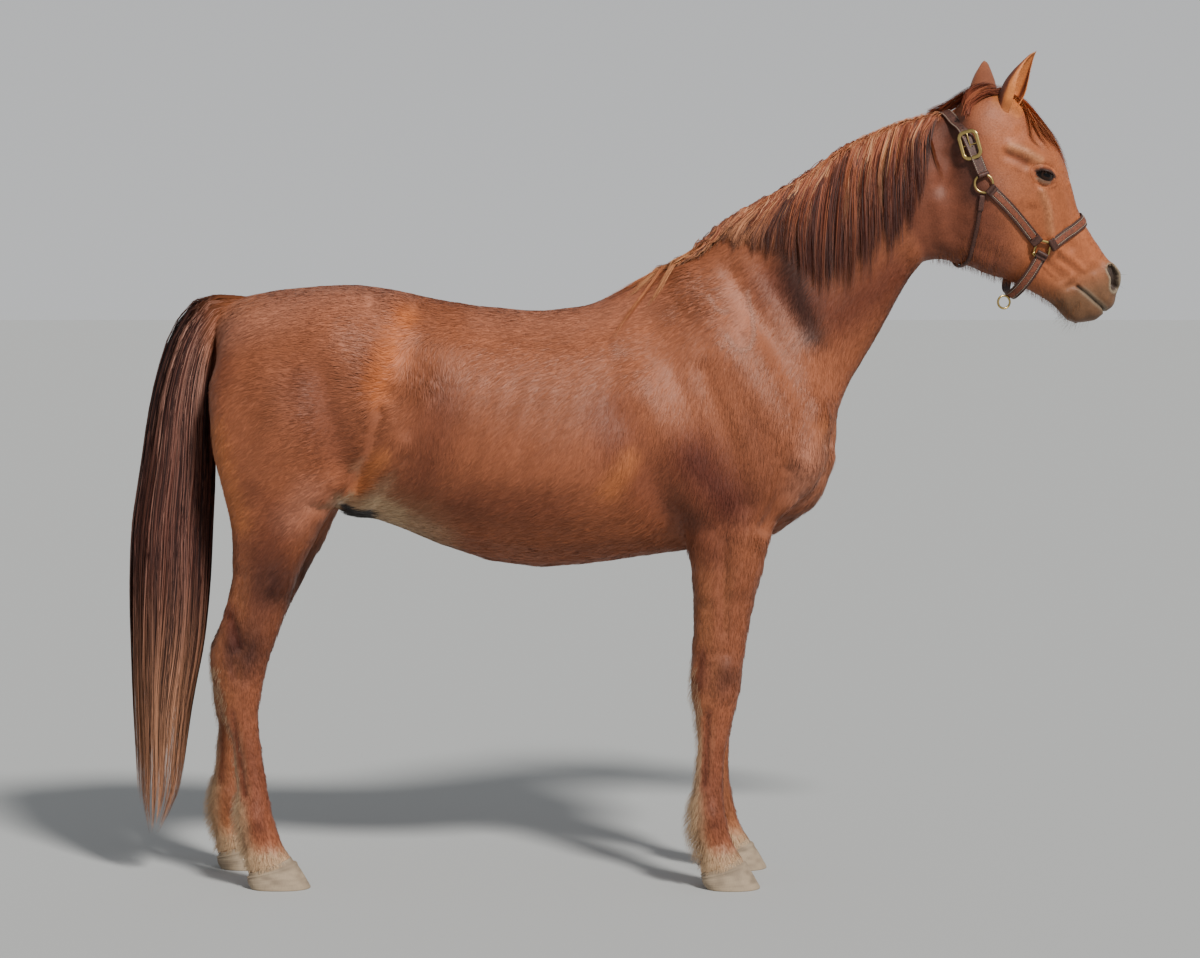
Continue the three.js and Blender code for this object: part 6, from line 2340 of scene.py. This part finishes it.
def rounded_rectangle(length, width, corner):
    """A closed outline in two dimensions with round corners."""
    points = []
    for quarter, (sx, sy) in enumerate(((1, 1), (-1, 1), (-1, -1), (1, -1))):
        middle = np.array([sx * (length / 2 - corner), sy * (width / 2 - corner)])
        for angle in np.linspace(quarter, quarter + 1, 8) * math.pi / 2:
            points.append(middle + corner * np.array([math.cos(angle), math.sin(angle)]))
    return np.array(points)


UPPER_RING = {"at": (0.134, 0.166), "radius": 0.021, "wire": 0.0030}
SQUARE_RING = {"at": (0.342, 0.116), "radius": 0.025, "wire": 0.0030}
RING_LIFT = 0.0065                 # from the skin to the middle of a ring's wire
CHIN_RING = {"at": (0.414, 0.0, 0.242), "radius": 0.015, "wire": 0.0026}
BUCKLE = {"at": (0.044, 0.140), "width": 0.041, "length": 0.062, "bar": 0.0046, "corner": 0.013}
# The right half of the chin strap as (down, out, deep) places.
CHIN_STRAP = [
    (0.354, 0.076, 0.128), (0.364, 0.074, 0.146), (0.378, 0.066, 0.170),
    (0.393, 0.049, 0.197), (0.404, 0.025, 0.216), (0.409, 0.000, 0.222),
]
BILLET_LENGTH = 0.115              # from the ring's middle to the end of the short strap
HOLE_PLACES = (0.088, 0.108, 0.140, 0.165)         # the crown strap's holes, from the same middle
SQUARE_RIM = 0.86                  # the share of a square ring's radius where its straps begin
RING_SEAT = 0.018                  # how far round their middle the rings rest on the skin
KNOB_ANGLES = (90, 180, 270)
KNOB = ((-0.0052, 0.0030), (-0.0045, 0.0046), (0.0, 0.0050), (0.0045, 0.0046), (0.0052, 0.0030))


def ring_seat(ring, sign):
    """The middle of a ring over the skin, and the way that it faces."""
    point, normal = seat(*ring["at"], sign, RING_SEAT)
    return point + normal * RING_LIFT, normal


def knobs(centre, normal):
    """The swollen corners of a square ring."""
    ahead, aside = in_plane(normal, DOWN)
    parts = []
    for angle in KNOB_ANGLES:
        way = ahead * math.cos(math.radians(angle)) + aside * math.sin(math.radians(angle))
        along = np.cross(normal, way)
        knob = [centre + way * SQUARE_RING["radius"] * 0.95 + along * s for s, _ in KNOB]
        parts.append(tube(knob, np.array([radius for _, radius in KNOB]), 14))
    return parts


def make_rings(brass):
    """The five rings. Returns the middles of those on the sides."""
    seats = {}
    for side, sign in (("right", 1), ("left", -1)):
        centre, normal = ring_seat(UPPER_RING, sign)
        seats["ring", side] = centre
        wire = tube(ring_path(centre, normal, circle(UPPER_RING["radius"])), UPPER_RING["wire"], 14, True)
        solid_piece(f"round_ring_{side}", [wire], brass, "halter_brass", f"halter_ring_{side}")
        centre, normal = ring_seat(SQUARE_RING, sign)
        seats["square", side] = centre
        wire = tube(ring_path(centre, normal, square(SQUARE_RING["radius"])), SQUARE_RING["wire"], 14, True)
        solid_piece(f"square_ring_{side}", [wire, *knobs(centre, normal)], brass,
                    "halter_brass", f"halter_square_{side}")
    path = ring_path(from_head(*CHIN_RING["at"]), OUT, circle(CHIN_RING["radius"]))
    wire = tube(path, CHIN_RING["wire"], 12, True)
    solid_piece("chin_ring", [wire], brass, "halter_brass", "halter_chin_ring")
    return seats


STRAP_SPACING = 0.003


def finer(path, ups):
    """A path in short even steps, with its facings to match."""
    path, ups = resampled(path, ups, STRAP_SPACING)
    return path, unit(ups)


def between_rings(path, ups, first, last, reach):
    """The part of a route from one ring's rim to another's."""
    path, ups = finer(path, ups)
    from_first = np.linalg.norm(path - first, axis=1)
    from_last = np.linalg.norm(path - last, axis=1)
    inside = np.arange(len(path))
    inside = (inside >= from_first.argmin()) & (inside <= from_last.argmin())
    keep = inside & (from_first > reach) & (from_last > reach)
    return path[keep], ups[keep]


def looped_both(path, ups, wire):
    path, ups = looped(path, ups, wire)
    path, ups = looped(path[::-1], ups[::-1], wire)
    return path[::-1], ups[::-1]


RAISED_WIDTH, RAISED_THICKNESS = 0.0125, 0.0030    # the padded band along the middle of a strap
STITCH_OFFSET = 0.0078


def make_padded_straps(leather, seats):
    """The cheek straps, noseband and chin strap. Returns their stitches and raised bands."""
    sewn, raised = [], []

    def padded(name, path, ups, replaced):
        """A strap looped round a ring at each end, with a raised band sewn along its middle."""
        band = strap(*looped_both(path, ups, SQUARE_RING["wire"]))
        solid_piece(name, [band], leather, "halter_leather", replaced)
        path, ups = path[3:-3], ups[3:-3]
        raised.append(strap(path + ups * (STRAP_THICKNESS / 2), ups, RAISED_WIDTH, RAISED_THICKNESS))
        for offset in (-STITCH_OFFSET, STITCH_OFFSET):
            sewn.extend(stitches(path, ups, offset))

    rim = SQUARE_RING["radius"] * SQUARE_RIM
    for side, sign in (("right", 1), ("left", -1)):
        path, ups = finer(*route_across(UPPER_RING["at"], SQUARE_RING["at"], sign, STRAP_LIFT))
        upper = np.linalg.norm(path - seats["ring", side], axis=1) > UPPER_RING["radius"]
        lower = np.linalg.norm(path - seats["square", side], axis=1) > rim
        padded(f"cheek_strap_{side}", path[upper & lower], ups[upper & lower], f"halter_cheek_{side}")

    path, ups = route_round(NOSE_ROUTE, STRAP_LIFT)
    path, ups = between_rings(path, ups, seats["square", "right"], seats["square", "left"], rim)
    padded("nose_strap", path, ups, "halter_noseband")

    half = [np.array(place) for place in CHIN_STRAP]
    other = [place * np.array([1, -1, 1]) for place in half[-2::-1]]
    line = along_path(half + other, np.linspace(0, 1, CHIN_STEPS))
    path = from_head(line[:, 0], line[:, 1], line[:, 2])
    ups = unit(path - from_head(CHIN_MIDDLE[0], 0, CHIN_MIDDLE[1]))
    padded("chin_strap", *finer(path, ups), "halter_chin_strap")
    return sewn, raised


STRAP_GAP = 0.0004                 # between the crown strap and the short strap below it
CROWN_STITCHES = 0.0108
CROWN_TIP = 0.012
HOLES = {"radius": 0.0024, "depth": 0.0008, "sunk": 0.0006}


def make_crown_strap(leather, seats):
    """The crown strap, its short strap and its holes. Returns its stitches.

    It is looped round the left ring, passes over the poll and through the buckle, and lies with
    its rounded tip on a short strap that is looped round the right ring.
    """
    right_ring, left_ring = seats["ring", "right"], seats["ring", "left"]
    path, ups = route_round(CROWN_ROUTE, STRAP_LIFT)
    path, ups = between_rings(path, ups, right_ring, left_ring, UPPER_RING["radius"])
    from_ring = np.linalg.norm(path - right_ring, axis=1)
    short = from_ring < BILLET_LENGTH
    over = smooth(BILLET_LENGTH + 0.010, BILLET_LENGTH - 0.006, from_ring)
    raised_path = path + ups * (over * (STRAP_THICKNESS + STRAP_GAP))[:, None]
    crown, crown_ups = looped(raised_path, ups, UPPER_RING["wire"])
    below, below_ups = looped(path[short][::-1], ups[short][::-1], UPPER_RING["wire"])
    parts = [strap(crown[::-1], crown_ups[::-1], tip=CROWN_TIP), strap(below, below_ups)]
    holes = []
    for distance in HOLE_PLACES:
        at = np.abs(from_ring - distance).argmin()
        surface = STRAP_THICKNESS / 2 + over[at] * (STRAP_THICKNESS + STRAP_GAP)
        centre = path[at] + ups[at] * (surface - HOLES["sunk"])
        holes.append(tube([centre, centre + ups[at] * HOLES["depth"]], HOLES["radius"], 12))
    solid_piece("crown_strap", parts, leather, "halter_leather", "halter_crown")
    solid_piece("strap_holes", holes, hole_material(), "halter_leather")
    sewn = []
    for offset in (-CROWN_STITCHES, CROWN_STITCHES):
        sewn += stitches(raised_path, ups, offset)
    return sewn


THROAT = {"lift": 0.0060, "radius": 0.0055, "squash": 0.7, "gap": 0.004}
WRAP = {"width": 0.014, "thickness": 0.0125, "steps": 13}


def make_throat_strap(leather, wrap_leather, seats):
    """The rolled throat strap, wrapped with flat leather at both ends."""
    path, ups = route_round(THROAT_ROUTE, THROAT["lift"])
    path, ups = between_rings(path, ups, seats["ring", "right"], seats["ring", "left"],
                              UPPER_RING["radius"] + THROAT["gap"])
    roll = tube(path, THROAT["radius"], 14, False, THROAT["squash"], ups)
    solid_piece("throat_strap", [roll], leather, "halter_leather", "halter_throatlatch")
    wraps = []
    for part, facing in ((path, ups), (path[::-1], ups[::-1])):
        part, facing = part[:WRAP["steps"]], facing[:WRAP["steps"]]
        wraps.append(strap(part, facing, WRAP["width"], WRAP["thickness"]))
    solid_piece("throat_wraps", wraps, wrap_leather, "halter_leather")


BUCKLE_LIFT = 0.0105               # from the skin to the middle of the buckle's frame
TONGUE_RADIUS, BAR_RADIUS, BAR_HALF = 0.0018, 0.0016, 0.020


def make_buckle(brass):
    """A rounded frame, its bar and its tongue."""
    point, normal = seat(*BUCKLE["at"], 1, RING_SEAT)
    ahead, aside = in_plane(normal, front_of(CROWN_ROUTE))
    centre = point + normal * BUCKLE_LIFT
    outline = rounded_rectangle(BUCKLE["length"], BUCKLE["width"], BUCKLE["corner"])
    path = centre + ahead * outline[:, :1] + aside * outline[:, 1:]
    reach = BUCKLE["length"] / 2
    tongue = [centre + ahead * s - normal * 0.001 + normal * 0.002 * math.sin(3 * s / reach)
              for s in np.linspace(-reach, reach * 1.02, 14)]
    bar = [centre + aside * s - normal * 0.003 for s in np.linspace(-BAR_HALF, BAR_HALF, 7)]
    frame_tube = tube(path, BUCKLE["bar"], 14, True, 0.55, normal)
    parts = [frame_tube, tube(tongue, TONGUE_RADIUS, 10), tube(bar, BAR_RADIUS, 10)]
    solid_piece("buckle", parts, brass, "halter_brass", "halter_buckle")


def make_halter():
    leather = leather_material("halter_leather", LEATHER_BROWN, LEATHER_DARK)
    crown_leather = leather_material("crown_leather", LEATHER_GREY, LEATHER_DARK)
    raised_leather = leather_material("raised_leather", LEATHER_RED, LEATHER_BROWN)
    brass = metal_material()
    seats = make_rings(brass)
    thread = thread_material()
    sewn, raised = make_padded_straps(leather, seats)
    sewn += make_crown_strap(crown_leather, seats)
    make_throat_strap(leather, crown_leather, seats)
    solid_piece("strap_bands", raised, raised_leather, "halter_leather")
    solid_piece("halter_stitches", sewn, thread, "halter_leather")
    make_buckle(brass)


eye_finish = eye_material()
for eye_side in SIDES:
    make_eye(eye_side, eye_finish)
horn_finish = horn_material()
for leg_name in LEGS:
    make_hoof(leg_name, horn_finish)
make_halter()


# ---------------------------------------------------------------- room, light and camera
SUN_FROM = (0.65, -1.20, 1.20)      # the way to the light
SUN_SOFTNESS = math.radians(9)
SUN_POWER = 4.3
SUN_COLOUR = (1.0, 0.96, 0.90)
FLOOR_COLOUR = (0.452, 0.468, 0.474)
FLOOR_SIZE = 60                     # from the middle to an edge
ROOM_COLOUR = (0.63, 0.64, 0.65)
ROOM_OVERHEAD = {"from": 0.9, "strength": 0.45}
CAMERA_AWAY, CAMERA_HEIGHT = 8.2, 1.51
CAMERA_DIP = math.radians(3.892)
LENS, SENSOR = 104.07, 36


def make_floor():
    size = FLOOR_SIZE
    corners = [(-size, -size, 0), (size, -size, 0), (size, size, 0), (-size, size, 0)]
    mesh = mesh_from("floor", corners, [(0, 1, 2, 3)])
    material, _, shader = new_material("floor")
    finish(shader, base_color=(*FLOOR_COLOUR, 1), roughness=0.9, specular_ior_level=0.2)
    mesh.materials.append(material)
    add_object("floor", mesh)


def make_room_light():
    """An even pale room, dimmer overhead than at the level of the horse."""
    world = bpy.data.worlds.new("studio")
    world.use_nodes = True
    tree = world.node_tree
    background = tree.nodes["Background"]
    coordinates = add_node(tree, "ShaderNodeTexCoord")
    split = add_node(tree, "ShaderNodeSeparateXYZ")
    ramp = add_node(tree, "ShaderNodeMapRange")
    ramp.inputs["From Max"].default_value = ROOM_OVERHEAD["from"]
    ramp.inputs["To Min"].default_value = 1.0
    ramp.inputs["To Max"].default_value = ROOM_OVERHEAD["strength"]
    tree.links.new(coordinates.outputs["Generated"], split.inputs["Vector"])
    tree.links.new(split.outputs["Z"], ramp.inputs["Value"])
    tree.links.new(ramp.outputs["Result"], background.inputs["Strength"])
    background.inputs["Color"].default_value = (*ROOM_COLOUR, 1)
    bpy.context.scene.world = world


def make_sun():
    data = bpy.data.lights.new("key", "SUN")
    data.energy = SUN_POWER
    data.color = SUN_COLOUR
    data.angle = SUN_SOFTNESS
    light = add_object("key", data)
    light.rotation_euler = Vector(SUN_FROM).to_track_quat("Z", "Y").to_euler()


def make_camera():
    """The photo's camera: level with the withers, a little tilted down."""
    data = bpy.data.cameras.new("camera")
    data.sensor_width = SENSOR
    data.lens = LENS
    camera = add_object("camera", data)
    camera.location = (DATUM, -CAMERA_AWAY, CAMERA_HEIGHT)
    camera.rotation_euler = (math.pi / 2 - CAMERA_DIP, 0, 0)
    bpy.context.scene.camera = camera


make_floor()
make_room_light()
make_sun()
make_camera()
